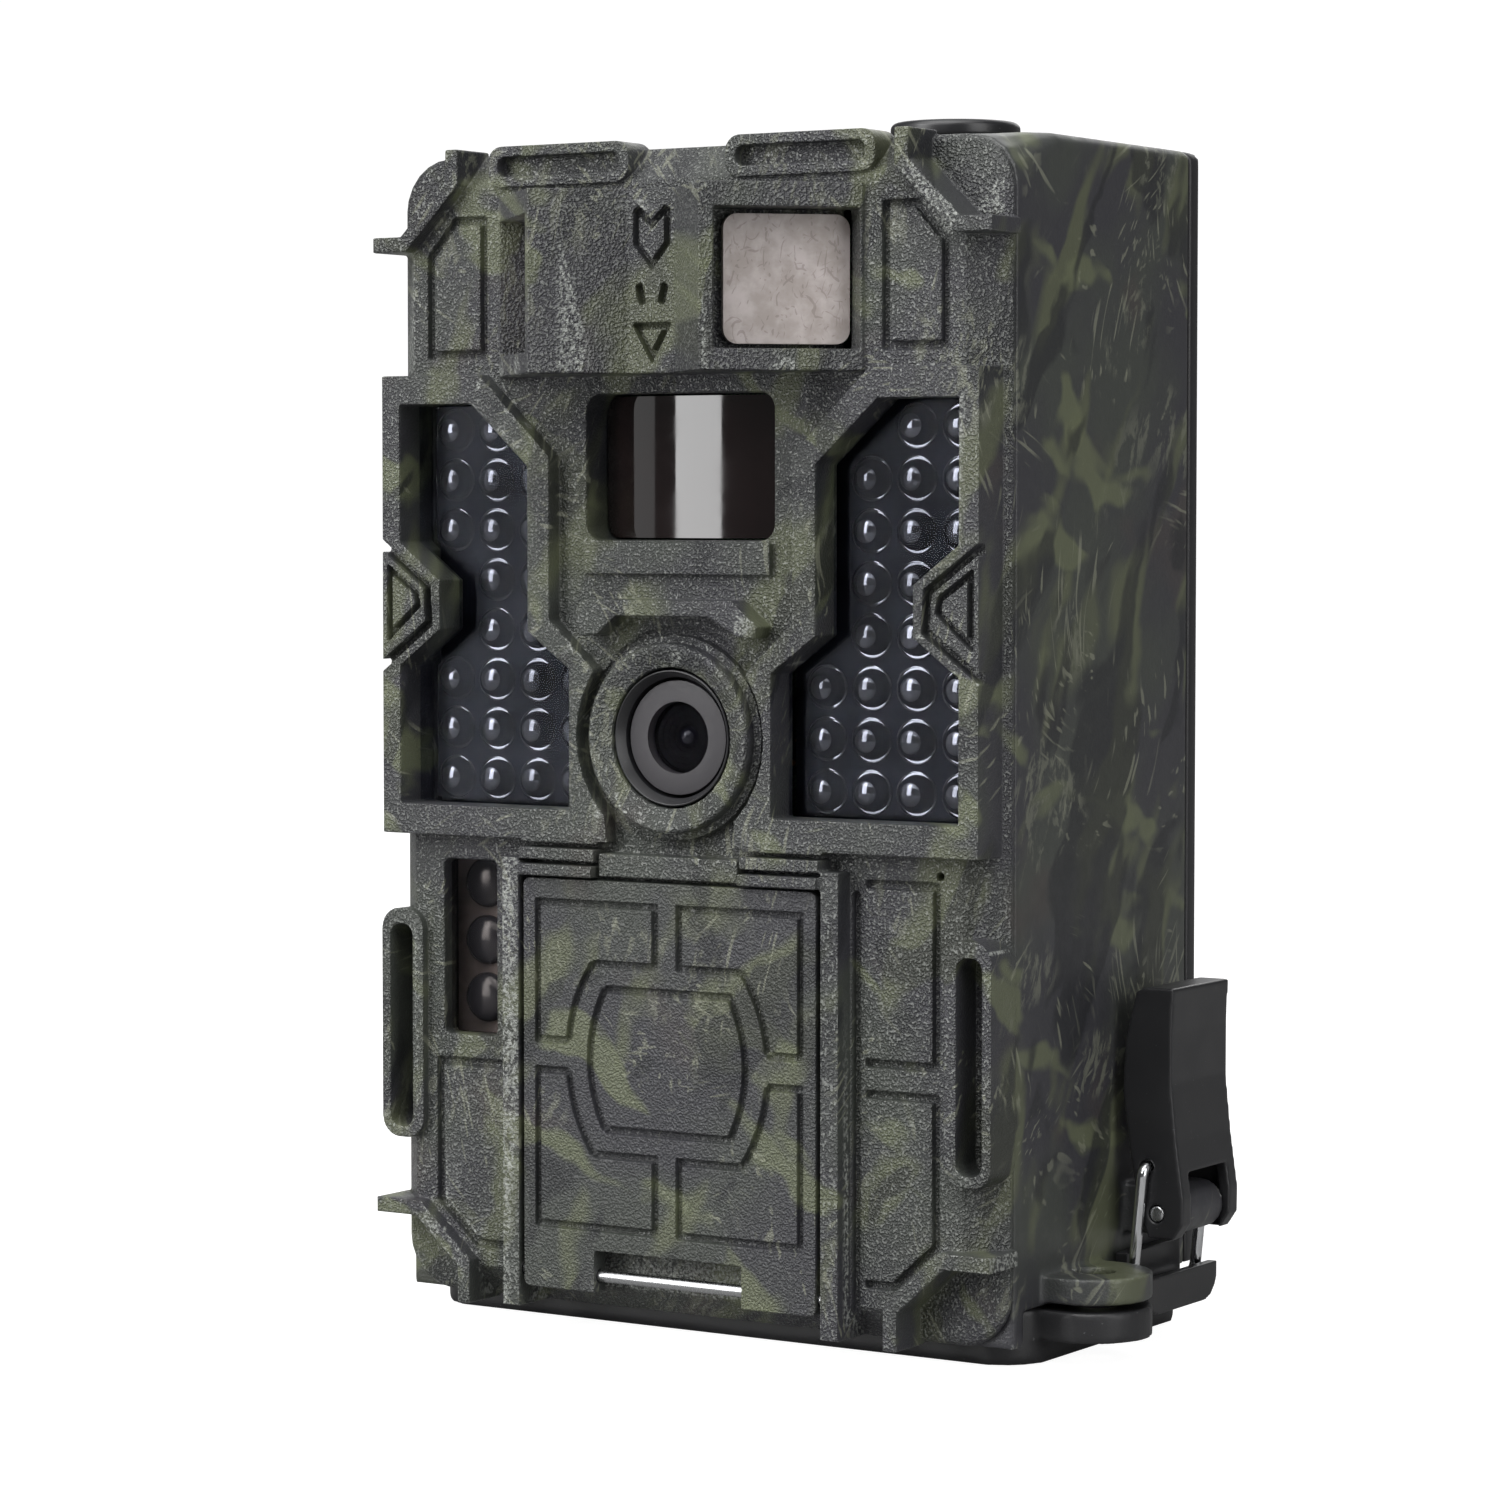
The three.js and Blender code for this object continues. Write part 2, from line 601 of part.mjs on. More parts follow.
function centreWindow() {
  const half = WINDOW.half - 0.25;
  const front = arcLine([half, 4.4], [-half, 4.4], 2.2, 12);
  const outline = [[-half, 5.7], ...front.reverse(), [half, 5.7]].reverse();
  const lens = column(outline, WINDOW.low, WINDOW.high);
  const edge = roundedRectangle(-half, half, WINDOW.low + 0.25, WINDOW.high - 0.25, WINDOW.corner);
  return lens.intersect(slab(edge, 0, 8));
}

function motionLens(side) {
  const half = SENSOR.size / 2;
  const geometry = extruded(roundedRectangle(-half, half, -half, half, SENSOR.corner), SENSOR.thick);
  geometry.rotateX(Math.PI / 2);
  geometry.translate(0, SENSOR.sunk + SENSOR.thick, 0);
  return ontoTurretFace(toSolid(geometry), side, SENSOR.along);
}

function sensorCan(side) {
  const geometry = drum(SENSOR.can, 4);
  geometry.translate(0, SENSOR.sunk + SENSOR.thick + 2.6, 0);
  return ontoTurretFace(toSolid(geometry), side, SENSOR.along);
}

// ---------------------------------------------------------------- lens

const BARREL = { ring: 6.9, front: -0.3, bore: 4.35, flange: 6.0, body: 8.2, back: 11.5 };

function lensBarrel() {
  const seat = { radius: 3.5, depth: 4.6 };
  return turned([
    [BARREL.bore, BARREL.front], [BARREL.ring, BARREL.front], [BARREL.ring, BARREL.flange],
    [BARREL.body, BARREL.flange], [BARREL.body, BARREL.back], [seat.radius, BARREL.back],
    [seat.radius, seat.depth], [BARREL.bore, seat.depth], [BARREL.bore, BARREL.front],
  ], 0, LENS_HEIGHT, 28);
}

// The black tube between the lens barrel and the bezel's bore.
function lensShroud() {
  const inner = BARREL.ring + 0.4;
  const outer = LENS_RING.bore - GAP;
  const back = BARREL.flange - GAP;
  return turned([
    [inner, -0.6], [outer - 0.2, -1.8], [outer, -1.7], [outer, back], [inner, back], [inner, -0.6],
  ], 0, LENS_HEIGHT, 32);
}

function lensElement() {
  return turned([[0, 2.0], [2.2, 2.3], [3.5, 3.2], [3.9, 4.3], [0, 4.3]], 0, LENS_HEIGHT, 28);
}

// ---------------------------------------------------------------- housing

// The housing's outline at one depth: open-cornered at the foot, rounded at the top.
function housingOutline(inset, corner, top) {
  const half = BODY_HALF_WIDTH - inset;
  const radius = Math.max(corner - inset, 1);
  const high = top - inset;
  const arc = (x, from) => [0, 1, 2, 3, 4].map((n) => {
    const turn = from + (n / 4) * (Math.PI / 2);
    return [x + radius * Math.cos(turn), high - radius + radius * Math.sin(turn)];
  });
  return [
    [-half, HOUSING_FOOT], [half, HOUSING_FOOT],
    ...arc(half - radius, 0), ...arc(-half + radius, Math.PI / 2),
  ];
}

// A solid through outlines with equal numbers of points; each station is { depth, points }.
function loft(stations) {
  const count = stations[0].points.length;
  const corners = stations.flatMap(({ depth, points }) => (
    points.flatMap(([x, z]) => [x, FRONT_PLANE + depth, z])));
  const faces = [];
  const last = (stations.length - 1) * count;
  for (let i = 1; i < count - 1; i += 1) faces.push(0, i, i + 1, last, last + i + 1, last + i);
  for (let row = 0; row < stations.length - 1; row += 1) {
    for (let i = 0; i < count; i += 1) {
      const [a, b] = [row * count + i, row * count + ((i + 1) % count)];
      faces.push(a, a + count, b, b, a + count, b + count);
    }
  }
  const geometry = new THREE.BufferGeometry();
  geometry.setAttribute('position', new THREE.Float32BufferAttribute(corners, 3));
  geometry.setIndex(faces);
  return facingOut(geometry);
}

// The corners tighten from the bezel's radius to the rear cover's over the first centimetre.
function housingBlock() {
  const stations = [
    [HOUSING_START, BODY_CORNER, BODY_TOP], [8, 5.2, BODY_TOP + 0.2], [11.5, 3, HOUSING_TOP - 0.1],
    [15, REAR_CORNER, HOUSING_TOP], [HOUSING_END, REAR_CORNER, HOUSING_TOP],
  ];
  return loft(stations.map(([depth, corner, top]) => (
    { depth, points: housingOutline(0, corner, top) })));
}

const SCREWS = [[-37.8, 14], [37.8, 14], [-37.8, 137], [37.8, 137]];
const POST = { radius: 3.4, near: 38, wall: 42, hole: 1.6 };
const LUG = { x: 46.4, depth: 18.6, radius: 7.3, hole: 2.4 };
const CAP = { x: 26, depth: 21, radius: 7.8, stem: 5.0, top: 147.2 };
const BOSS = { near: 31.6, far: 40.8, radius: 3 };
const KNUCKLE = 2.4;
const MOUTH = { half: 40, low: 9, high: 139 };   // the opening behind the bezel
const APRON = { depth: 7.4, high: 9.4 };         // the low wall in front of the bottom cover

function lug(low, high) {
  const near = LUG.depth - LUG.radius;
  const far = LUG.depth + LUG.radius;
  const arm = block(BODY_HALF_WIDTH - 1, LUG.x, near, far, low, high);
  const end = barAlongZ(LUG.radius, LUG.x, LUG.depth, low, high, 32);
  return joined(arm, end);
}

function padlockHole() {
  return barAlongZ(LUG.hole, LUG.x + 0.6, LUG.depth, 0, 20);
}

// The space between the side walls, kept clear of the lugs' inner ends.
function innerSpace() {
  return block(-41, 41, 0, REAR_COVER_END, 0, 20);
}

function hingeKnuckles(starts, leafLow, leafHigh, leafX) {
  return starts.map(([near, far]) => joined(
    barAlongY(KNUCKLE, COVER_PIN.x, near, far, COVER_PIN.height, 20),
    block(COVER_PIN.x, leafX, near, far, leafLow, leafHigh)));
}

function screwPosts() {
  return SCREWS.flatMap(([x, z]) => {
    const wall = Math.sign(x) * POST.wall;
    const [x0, x1] = [Math.min(x, wall), Math.max(x, wall)];
    return [
      block(x0, x1, POST.near, HOUSING_END, z - POST.radius, z + POST.radius),
      barAlongY(POST.radius, x, POST.near, HOUSING_END, z, 16),
    ];
  });
}

function latchBoss() {
  const { height } = LATCH_PIN;
  const low = height - BOSS.radius;
  const high = height + BOSS.radius;
  return joined(
    block(BODY_HALF_WIDTH - 1, LATCH_PIN.x, BOSS.near, BOSS.far, low, high),
    barAlongY(BOSS.radius, LATCH_PIN.x, BOSS.near, BOSS.far, height));
}

function mainHousing() {
  const inner = outlineShape(housingOutline(HOUSING_WALL, REAR_CORNER, BODY_TOP));
  const inside = BODY_HALF_WIDTH - HOUSING_WALL;
  const walls = cut(
    housingBlock(),
    slab(inner, HOUSING_START + 1.6, HOUSING_END + 1),
    block(-inside, inside, HOUSING_START - 1, HOUSING_END + 1, 0, 30),
    block(-MOUTH.half, MOUTH.half, HOUSING_START - 1, HOUSING_START + 3, MOUTH.low, MOUTH.high));
  const apron = block(
    -BODY_HALF_WIDTH, BODY_HALF_WIDTH, HOUSING_START, APRON.depth, BODY_BOTTOM, APRON.high);
  const knuckles = [
    [COVER_PIN.near, COVER_PIN.near + 6], [26, 32], [COVER_PIN.far - 6, COVER_PIN.far],
  ];
  const solid = joined(
    walls, apron, screwPosts(), latchBoss(),
    cut(lug(7.4, 10.6), innerSpace()),
    hingeKnuckles(knuckles, 7.2, 9.3, -BODY_HALF_WIDTH + 1));
  return cut(
    solid,
    SCREWS.map(([x, z]) => barAlongY(POST.hole, x, 39.5, HOUSING_END + 1, z, 16)),
    barAlongZ(CAP.stem + GAP, CAP.x, CAP.depth, BODY_TOP - 5, HOUSING_TOP + 1),
    padlockHole(),
    coverPinBar(COVER_PIN.radius + 0.05, 4),
    latchPinBar(LATCH_PIN.radius + 0.05, 1));
}

function rearCover() {
  const shape = outlineShape(housingOutline(0, REAR_CORNER, HOUSING_TOP));
  const outline = slab(shape, HOUSING_END + GAP, REAR_COVER_END);
  const heads = SCREWS.map(([x, z]) => barAlongY(3.2, x, 49.4, REAR_COVER_END + 1, z, 20));
  const shanks = SCREWS.map(([x, z]) => barAlongY(1.7, x, HOUSING_END, REAR_COVER_END, z, 16));
  return cut(outline, heads, shanks);
}

function rearScrew([x, z]) {
  const profile = [[0, 41], [1.4, 41], [1.4, 49.7], [2.9, 49.7], [2.9, 50.6], [0, 50.6]];
  return turned(profile, x, z, 16);
}

// The strap bracket: a base plate and two toothed ribs with a strap slot through both.
const BRACKET = {
  half: 31, low: 34, high: 124, base: 54.2, crest: 63.4, slotLow: 64, slotHigh: 93,
  ribNear: 24, ribFar: 30, pitch: 8, tooth: 2.6,
};

function rearBracket() {
  const base = slab(
    roundedRectangle(-BRACKET.half, BRACKET.half, BRACKET.low, BRACKET.high, 6),
    REAR_COVER_END + GAP, BRACKET.base);
  const ribs = [1, -1].map((side) => {
    const [x0, x1] = side > 0
      ? [BRACKET.ribNear, BRACKET.ribFar]
      : [-BRACKET.ribFar, -BRACKET.ribNear];
    return block(x0, x1, BRACKET.base - 1, BRACKET.crest, BRACKET.low + 6, BRACKET.high - 6);
  });
  const teeth = [];
  for (let z = BRACKET.low + 10; z < BRACKET.high - 8; z += BRACKET.pitch) {
    const notch = drum(BRACKET.tooth, 2 * BRACKET.half + 8, 4);
    notch.rotateZ(Math.PI / 2);
    notch.translate(0, FRONT_PLANE + BRACKET.crest + 1.2, z);
    teeth.push(toSolid(notch));
  }
  const slot = block(
    -FAR_OUT, FAR_OUT, BRACKET.base, BRACKET.base + 5, BRACKET.slotLow, BRACKET.slotHigh);
  return cut(joined(base, ribs), teeth, slot);
}

function antennaCap() {
  const foot = HOUSING_TOP - 5.6;
  const base = HOUSING_TOP + 0.2;
  const edge = 0.5;
  const profile = [
    [0, foot], [CAP.stem, foot], [CAP.stem, base], [CAP.radius, base],
    [CAP.radius, CAP.top - edge], [CAP.radius - edge, CAP.top], [0, CAP.top],
  ];
  return turnedUpright(profile, CAP.x, CAP.depth, 36);
}

// ---------------------------------------------------------------- front door

function doorGrooves() {
  const near = -DOOR_RISE - 1;
  const far = -DOOR_RISE + 0.85;
  const line = 0.9;
  const upperSide = arcLine([10.7, 45.9], [14.3, 36.4], 0.7);
  const lowerSide = arcLine([14.3, 32.4], [10.7, 22.6], 0.7);
  const upper = [[10.7, 45.9], [1.75, 45.9], [1.75, 53.1], [18.9, 53.1], [18.9, 36.2], [14.3, 36.2]];
  const lower = [[10.7, 22.6], [1.75, 22.6], [1.75, 13.6], [18.9, 13.6], [18.9, 32.5], [14.3, 32.5]];
  const rightSide = arcLine([9.0, 42.8], [9.0, 25.7], 2.2, 8);
  const leftSide = arcLine([-9.0, 25.7], [-9.0, 42.8], 2.2, 8);
  const shield = [[-9.0, 42.8], ...rightSide, [-9.0, 25.7]];
  return [
    ...[upper, upperSide, lower, lowerSide].flatMap((path) => bandPair(path, line, near, far)),
    bandSlab(shield, line, near, far),
    bandSlab(leftSide, line, near, far),
  ];
}

function frontDoor() {
  const outline = roundedRectangle(
    -DOOR_HALF_WIDTH, DOOR_HALF_WIDTH, DOOR_BOTTOM, DOOR_TOP, 1.0);
  const plate = slab(outline, -DOOR_RISE, -GAP);
  const pinRoom = block(-10.6, 10.6, -5, 2, 0, 10.8);
  return cut(plate, pinRoom, doorPinBar(DOOR_PIN.radius + 0.06, FAR_OUT), doorGrooves());
}

// ---------------------------------------------------------------- display and keys

const KEYS = {
  button_up: [0, 25.6], button_down: [0, 15.2], button_left: [-5.2, 20.4], button_right: [5.2, 20.4],
  button_ok: [0, 20.4], button_menu: [-12.2, 22.4],
};
const KEY = { radius: 2.1, front: 1.6, back: 4.2 };

function keyCap([x, z]) {
  const profile = [
    [0, KEY.back], [KEY.radius, KEY.back], [KEY.radius, KEY.front + 0.5],
    [KEY.radius - 0.5, KEY.front], [0, KEY.front],
  ];
  return turned(profile, x, z, 16);
}

// ---------------------------------------------------------------- inside

const CASE = { half: 31.2, near: 17.9, far: 47.6, low: 10.0, high: 64.0, wall: 1.1, skin: 0.4 };

function batteryCase() {
  const half = CASE.half - CASE.wall;
  const roof = CASE.high - CASE.wall;
  return cut(
    block(-CASE.half, CASE.half, CASE.near, CASE.far, CASE.low, CASE.high),
    block(-half, half, CASE.near + CASE.skin, CASE.far - CASE.skin, CASE.low - 1, roof));
}

function batteryCell(n) {
  const x = ((n % 4) - 1.5) * CELL.pitch;
  const depth = (CASE.near + CASE.far) / 2 + (n < 4 ? -0.5 : 0.5) * 14.4;
  const low = CASE.low + 1.6;
  const top = low + CELL.length;
  const profile = [
    [0, low], [CELL.radius, low], [CELL.radius, top - 1], [2.7, top - 1], [2.7, top], [0, top],
  ];
  return turnedUpright(profile, x, depth, 20);
}

function statusWindow() {
  const play = 0.2;
  const outline = roundedRectangle(
    STATUS.x0 + play, STATUS.x1 - play, STATUS.low + play, STATUS.high - play, 0.7);
  return slab(outline, 1.3, 2.5);
}

function statusBoard() {
  const { board, eye, x0, x1, low, high } = STATUS;
  const plate = block(x0 - 0.6, x1 + 0.6, board, board + 1.2, low - 0.4, high + 0.4);
  const profile = [[0, board + 0.2], [eye, board + 0.2], [eye, 4.6], [eye - 0.6, 4.1], [0, 3.9]];
  const middle = (x0 + x1) / 2;
  const eyes = [54.2, 47.0, 39.8].map((z) => turned(profile, middle, z, 20));
  return joined(plate, eyes);
}

// ---------------------------------------------------------------- bottom cover

const COVER = { half: 43.2, near: 7.8, far: 50.6, top: 6.7, floor: 2.2, wall: 2.4 };
const INSERT = { depth: 34, outer: 5.0, bore: 3.1, top: 6.0 };

function coverOutline(inset) {
  const half = COVER.half - inset;
  return new THREE.Shape(roundedRectangle(
    -half, half, FRONT_PLANE + COVER.near + inset, FRONT_PLANE + COVER.far - inset,
    Math.max(BODY_CORNER - inset, 1)).getPoints(4));
}

function coverPrism(inset, low, high) {
  const geometry = extruded(coverOutline(inset), high - low);
  geometry.translate(0, 0, low);
  return toSolid(geometry);
}

function bottomCover() {
  const tray = cut(coverPrism(0, 0, COVER.top), coverPrism(COVER.wall, COVER.floor, COVER.top + 1));
  const insertBoss = barAlongZ(INSERT.outer + 2.2, 0, INSERT.depth, 1, COVER.top - 0.4);
  const solid = joined(
    tray, insertBoss,
    cut(lug(2.9, 6.6), innerSpace()),
    hingeKnuckles([[20.3, 25.7], [32.3, 37.7]], 4.5, 6.6, -COVER.half + 1));
  return cut(
    solid,
    barAlongZ(INSERT.outer + GAP, 0, INSERT.depth, 0.8, COVER.top),
    barAlongZ(INSERT.bore, 0, INSERT.depth, -1, 2),
    padlockHole(),
    coverPinBar(COVER_PIN.radius + 0.06, 4));
}

function coverSeal() {
  return cut(coverPrism(COVER.wall + GAP, COVER.floor + GAP, 7.6), coverPrism(4.4, 0, 9));
}

function tripodInsert() {
  const profile = [
    [INSERT.bore, 1.1], [INSERT.outer, 1.1], [INSERT.outer, INSERT.top], [INSERT.bore, INSERT.top],
    [INSERT.bore, 1.1],
  ];
  return turnedUpright(profile, 0, INSERT.depth, 24);
}

// ---------------------------------------------------------------- latch

const STRIKE = { front: 29.2, rear: 43.2, low: 3.6, shelf: 5.8, top: 11.0, face: 45.6, reach: 49.2 };

// The bail's crossbar rests on the strike's shelf.
function latchStrike() {
  const near = COVER.half + GAP;
  const post = block(near, STRIKE.face, STRIKE.front, STRIKE.rear, STRIKE.low, STRIKE.top);
  const shelf = block(near, STRIKE.reach, STRIKE.front, STRIKE.rear, STRIKE.low, STRIKE.shelf);
  const slope = outlineShape([[46.4, 3.0], [50, 3.0], [50, 5.0], [48.6, 3.9]]);
  const underside = slab(slope, STRIKE.front - 1, STRIKE.rear + 1);
  const wallFace = BODY_HALF_WIDTH + GAP;
  const wallRoom = block(
    COVER.half, wallFace, STRIKE.front - 1, STRIKE.rear + 1, COVER.top - 0.2, STRIKE.top + 1);
  return cut(joined(post, shelf), underside, wallRoom);
}

// The lever's profile in X and Z: its outer face from the top down, then its inner edge up again.
const LEVER_OUTER = [
  [51.9, LATCH.top], [51.6, 38.0], [51.6, 32.0], [52.3, 25.0],
  [53.3, 18.0], [53.2, 15.0], [52.0, 13.2],
];
const LEVER_INNER = [
  [48.6, 13.2], [47.4, 15.7], [45.9, 24.3], [45.0, 30.8],
  [45.4, 37.3], [46.8, 42.9], [48.0, LATCH.top],
];

function latchLever() {
  const body = slab(outlineShape([...LEVER_OUTER, ...LEVER_INNER].reverse()), LATCH.front, LATCH.rear);
  const roof = LATCH.top - LATCH.plate;
  const skin = LEVER_OUTER.slice(0, 5).map(([x, z]) => [x - LATCH.plate, Math.min(z, roof)]);
  const channel = [[44, roof], ...skin, [51.6, 12], [44, 12]];
  const inner = slab(
    outlineShape(channel.reverse()), LATCH.front + LATCH.plate, LATCH.rear - LATCH.plate);
  const window = block(44, 56, LATCH.front + 2.4, LATCH.rear - 2.4, 10, 21.2);
  return cut(
    body, inner, window,
    latchPinBar(LATCH_PIN.radius + 0.06, 5),
    barAlongY(BAIL_WIRE + 0.15, BAIL_HOLE.x, 20, 50, BAIL_HOLE.height, 16));
}

function latchBail() {
  const side = 0.9;                // from the lever's cheek to the wire's centre line
  const front = LATCH.front - side;
  const rear = LATCH.rear + side;
  const inward = 2.3;
  const bend = 1.3;
  const at = ({ x, height }, depth) => new THREE.Vector3(x, FRONT_PLANE + depth, height);
  const corners = [
    at(BAIL_HOLE, front + inward), at(BAIL_HOLE, front), at(BAIL_CROSSBAR, front),
    at(BAIL_CROSSBAR, rear), at(BAIL_HOLE, rear), at(BAIL_HOLE, rear - inward),
  ];
  const path = new THREE.CurvePath();
  let start = corners[0];
  for (let i = 1; i < corners.length - 1; i += 1) {
    const into = corners[i].clone().sub(corners[i - 1]).normalize();
    const out = corners[i + 1].clone().sub(corners[i]).normalize();
    const before = corners[i].clone().addScaledVector(into, -bend);
    const after = corners[i].clone().addScaledVector(out, bend);
    path.add(new THREE.LineCurve3(start, before));
    path.add(new THREE.QuadraticBezierCurve3(before, corners[i], after));
    start = after;
  }
  path.add(new THREE.LineCurve3(start, corners.at(-1)));
  const ring = new THREE.Shape().absarc(0, 0, BAIL_WIRE, 0, 2 * Math.PI, false);
  const wire = new THREE.ExtrudeGeometry(ring, { steps: 44, extrudePath: path, curveSegments: 4 });
  return facingOut(wire);
}

// ---------------------------------------------------------------- assembly

addPiece('front_bezel', frontBezel(), camo);
addPiece('main_housing', mainHousing(), camo);
addPiece('rear_cover', rearCover(), black);
addPiece('rear_bracket', rearBracket(), black);
SCREWS.forEach((place, n) => addPiece(`rear_screw_${n + 1}`, rearScrew(place), steel));
addPiece('antenna_cap', antennaCap(), black);

addPiece('front_door', frontDoor(), camo);
addPiece('door_hinge_pin', doorPinBar(DOOR_PIN.radius, DOOR_PIN.half), steel);

for (const [side, word] of [[1, 'right'], [-1, 'left']]) {
  addPiece(`ir_window_${word}`, lampWindow(side), darkGlass);
  addPiece(`ir_led_board_${word}`, lampBoard(side), circuit);
  addPiece(`motion_lens_${word}`, motionLens(side), frosted);
  addPiece(`motion_sensor_${word}`, sensorCan(side), steel);
}
addPiece('motion_window_center', centreWindow(), darkGlass);
addPiece('motion_sensor_center', barAlongY(4.6, 0, 7.2, 11.4, 106), steel);

addPiece('lens_cover_glass', barAlongY(BARREL.bore - GAP, 0, 0.4, 1.0, LENS_HEIGHT, 40), clear);
addPiece('lens_shroud', lensShroud(), black);
addPiece('lens_barrel', lensBarrel(), lensGrey);
addPiece('lens_element', lensElement(), darkGlass);
addPiece('ir_cut_filter', block(-4.6, 11, 11.9, 12.8, LENS_HEIGHT - 4.8, LENS_HEIGHT + 4.8), clear);
addPiece('image_sensor_board', block(-12, 12, 13.3, 14.5, LENS_HEIGHT - 12, LENS_HEIGHT + 12), circuit);

addPiece('status_window', statusWindow(), darkGlass);
addPiece('status_board', statusBoard(), circuit);
addPiece('microphone', barAlongY(2, PINHOLE.x, 2.9, 4.6, PINHOLE.height, 16), steel);

addPiece('display_module', block(-16, 16, 3.2, 6.2, 31, 51), darkGlass);
addPiece('keypad_board', block(-16, 16, 4.9, 6.1, 12, 29.6), circuit);
for (const [name, place] of Object.entries(KEYS)) addPiece(name, keyCap(place), keyGrey);
addPiece('power_switch', block(9.6, 12.4, 1.8, 4.6, 13.4, 16.6), keyGrey);

addPiece('main_board', block(-38, 38, 15.2, 16.8, 24, 136), circuit);
addPiece('usb_socket', block(-24.6, -15.4, 11.6, 14.9, 24.4, 31), steel);
addPiece('card_socket', block(4, 30, 12.2, 14.9, 24.4, 52), steel);
addPiece('battery_case', batteryCase(), black);
for (let n = 0; n < 8; n += 1) addPiece(`battery_cell_${n + 1}`, batteryCell(n), cellWrap);

addPiece('bottom_cover', bottomCover(), black);
addPiece('cover_seal', coverSeal(), rubber);
addPiece('tripod_insert', tripodInsert(), brass);
addPiece('cover_hinge_pin', coverPinBar(COVER_PIN.radius, 0), steel);

addPiece('latch_strike', latchStrike(), black);
addPiece('latch_lever', latchLever(), black);
addPiece('latch_bail', latchBail(), chrome);
addPiece('latch_pin', latchPinBar(LATCH_PIN.radius, 0), steel);

export default camera;
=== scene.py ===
"""Trail camera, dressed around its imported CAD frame. Metres, +Z up, the lens looks along -Y."""
import json
import math

import bmesh
import bpy
from mathutils import Matrix, Vector

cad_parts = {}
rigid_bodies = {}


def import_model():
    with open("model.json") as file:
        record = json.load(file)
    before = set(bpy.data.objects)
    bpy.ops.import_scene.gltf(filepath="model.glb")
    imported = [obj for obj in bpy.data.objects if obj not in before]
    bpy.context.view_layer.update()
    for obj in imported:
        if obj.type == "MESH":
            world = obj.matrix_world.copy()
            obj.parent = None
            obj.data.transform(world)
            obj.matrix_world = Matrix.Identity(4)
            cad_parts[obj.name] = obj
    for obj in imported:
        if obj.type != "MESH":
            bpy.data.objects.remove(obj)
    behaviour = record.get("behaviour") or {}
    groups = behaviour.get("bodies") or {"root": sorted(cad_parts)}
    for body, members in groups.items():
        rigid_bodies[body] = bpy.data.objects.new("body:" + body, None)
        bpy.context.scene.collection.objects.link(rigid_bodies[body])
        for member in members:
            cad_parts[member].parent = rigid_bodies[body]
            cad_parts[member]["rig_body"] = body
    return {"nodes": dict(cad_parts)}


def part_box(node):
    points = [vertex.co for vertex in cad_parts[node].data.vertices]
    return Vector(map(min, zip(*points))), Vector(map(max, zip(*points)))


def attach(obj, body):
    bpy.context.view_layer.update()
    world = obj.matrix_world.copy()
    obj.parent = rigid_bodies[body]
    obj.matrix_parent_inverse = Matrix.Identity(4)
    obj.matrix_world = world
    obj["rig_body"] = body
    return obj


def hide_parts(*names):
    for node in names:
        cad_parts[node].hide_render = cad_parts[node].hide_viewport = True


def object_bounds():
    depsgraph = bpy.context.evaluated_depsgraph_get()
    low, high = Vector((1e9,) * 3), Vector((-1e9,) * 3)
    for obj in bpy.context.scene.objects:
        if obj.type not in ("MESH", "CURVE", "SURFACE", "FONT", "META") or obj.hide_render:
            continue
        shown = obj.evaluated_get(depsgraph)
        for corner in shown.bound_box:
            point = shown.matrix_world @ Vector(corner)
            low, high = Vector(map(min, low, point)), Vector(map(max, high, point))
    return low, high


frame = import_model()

CAD_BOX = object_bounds()
MM = 0.001

# ------------------------------------------------------------------ places taken from the frame

PANE_DEPTH = 1.5 * MM            # the lamp windows sit this far behind the front plane
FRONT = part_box("ir_window_right")[0].y - PANE_DEPTH


def middle(node):
    low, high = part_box(node)
    return (low + high) / 2


LENS_AXIS = Vector((0, FRONT, middle("lens_barrel").z))

# ------------------------------------------------------------------ chosen sizes, in millimetres

LAMP_COLUMNS = (18.0, 24.15, 30.3, 36.5)         # from the centre plane outwards
LAMP_ROWS = (
    (2, 3), (1, 2, 3), (1, 2, 3), (1, 2), (1, 2), (0, 1, 2, 3), (0, 1, 2, 3), (0, 1, 2, 3))
LAMP_TOP = 110.7                                 # height of the top row
LAMP_PITCH = 6.18
TRAY_FACE = 4.85                                 # depth of the lamp tray's flat face
BACKING = {"x": 26.7, "depth": 6.65, "z": 89.5, "width": 28.2, "thick": 0.5, "height": 54.0}
CARD_FACE = 5.6                                  # depth of the status card's flat face
CARD_MARGIN = 1.5                                # how much wider the card is on its outer side
STATUS_PITCH = 7.2
STATUS_SHIFT = Vector((-1.4, 0, 0.4))            # from the middle of the status board
WIRE = 0.7                                       # radius of the bail's wire
WIRE_BEND = 1.3
WIRE_HOOK = 1.6                                  # how far the bail's ends turn in
THREAD_TURNS = 4
COARSER = 1.0

# ------------------------------------------------------------------ tables

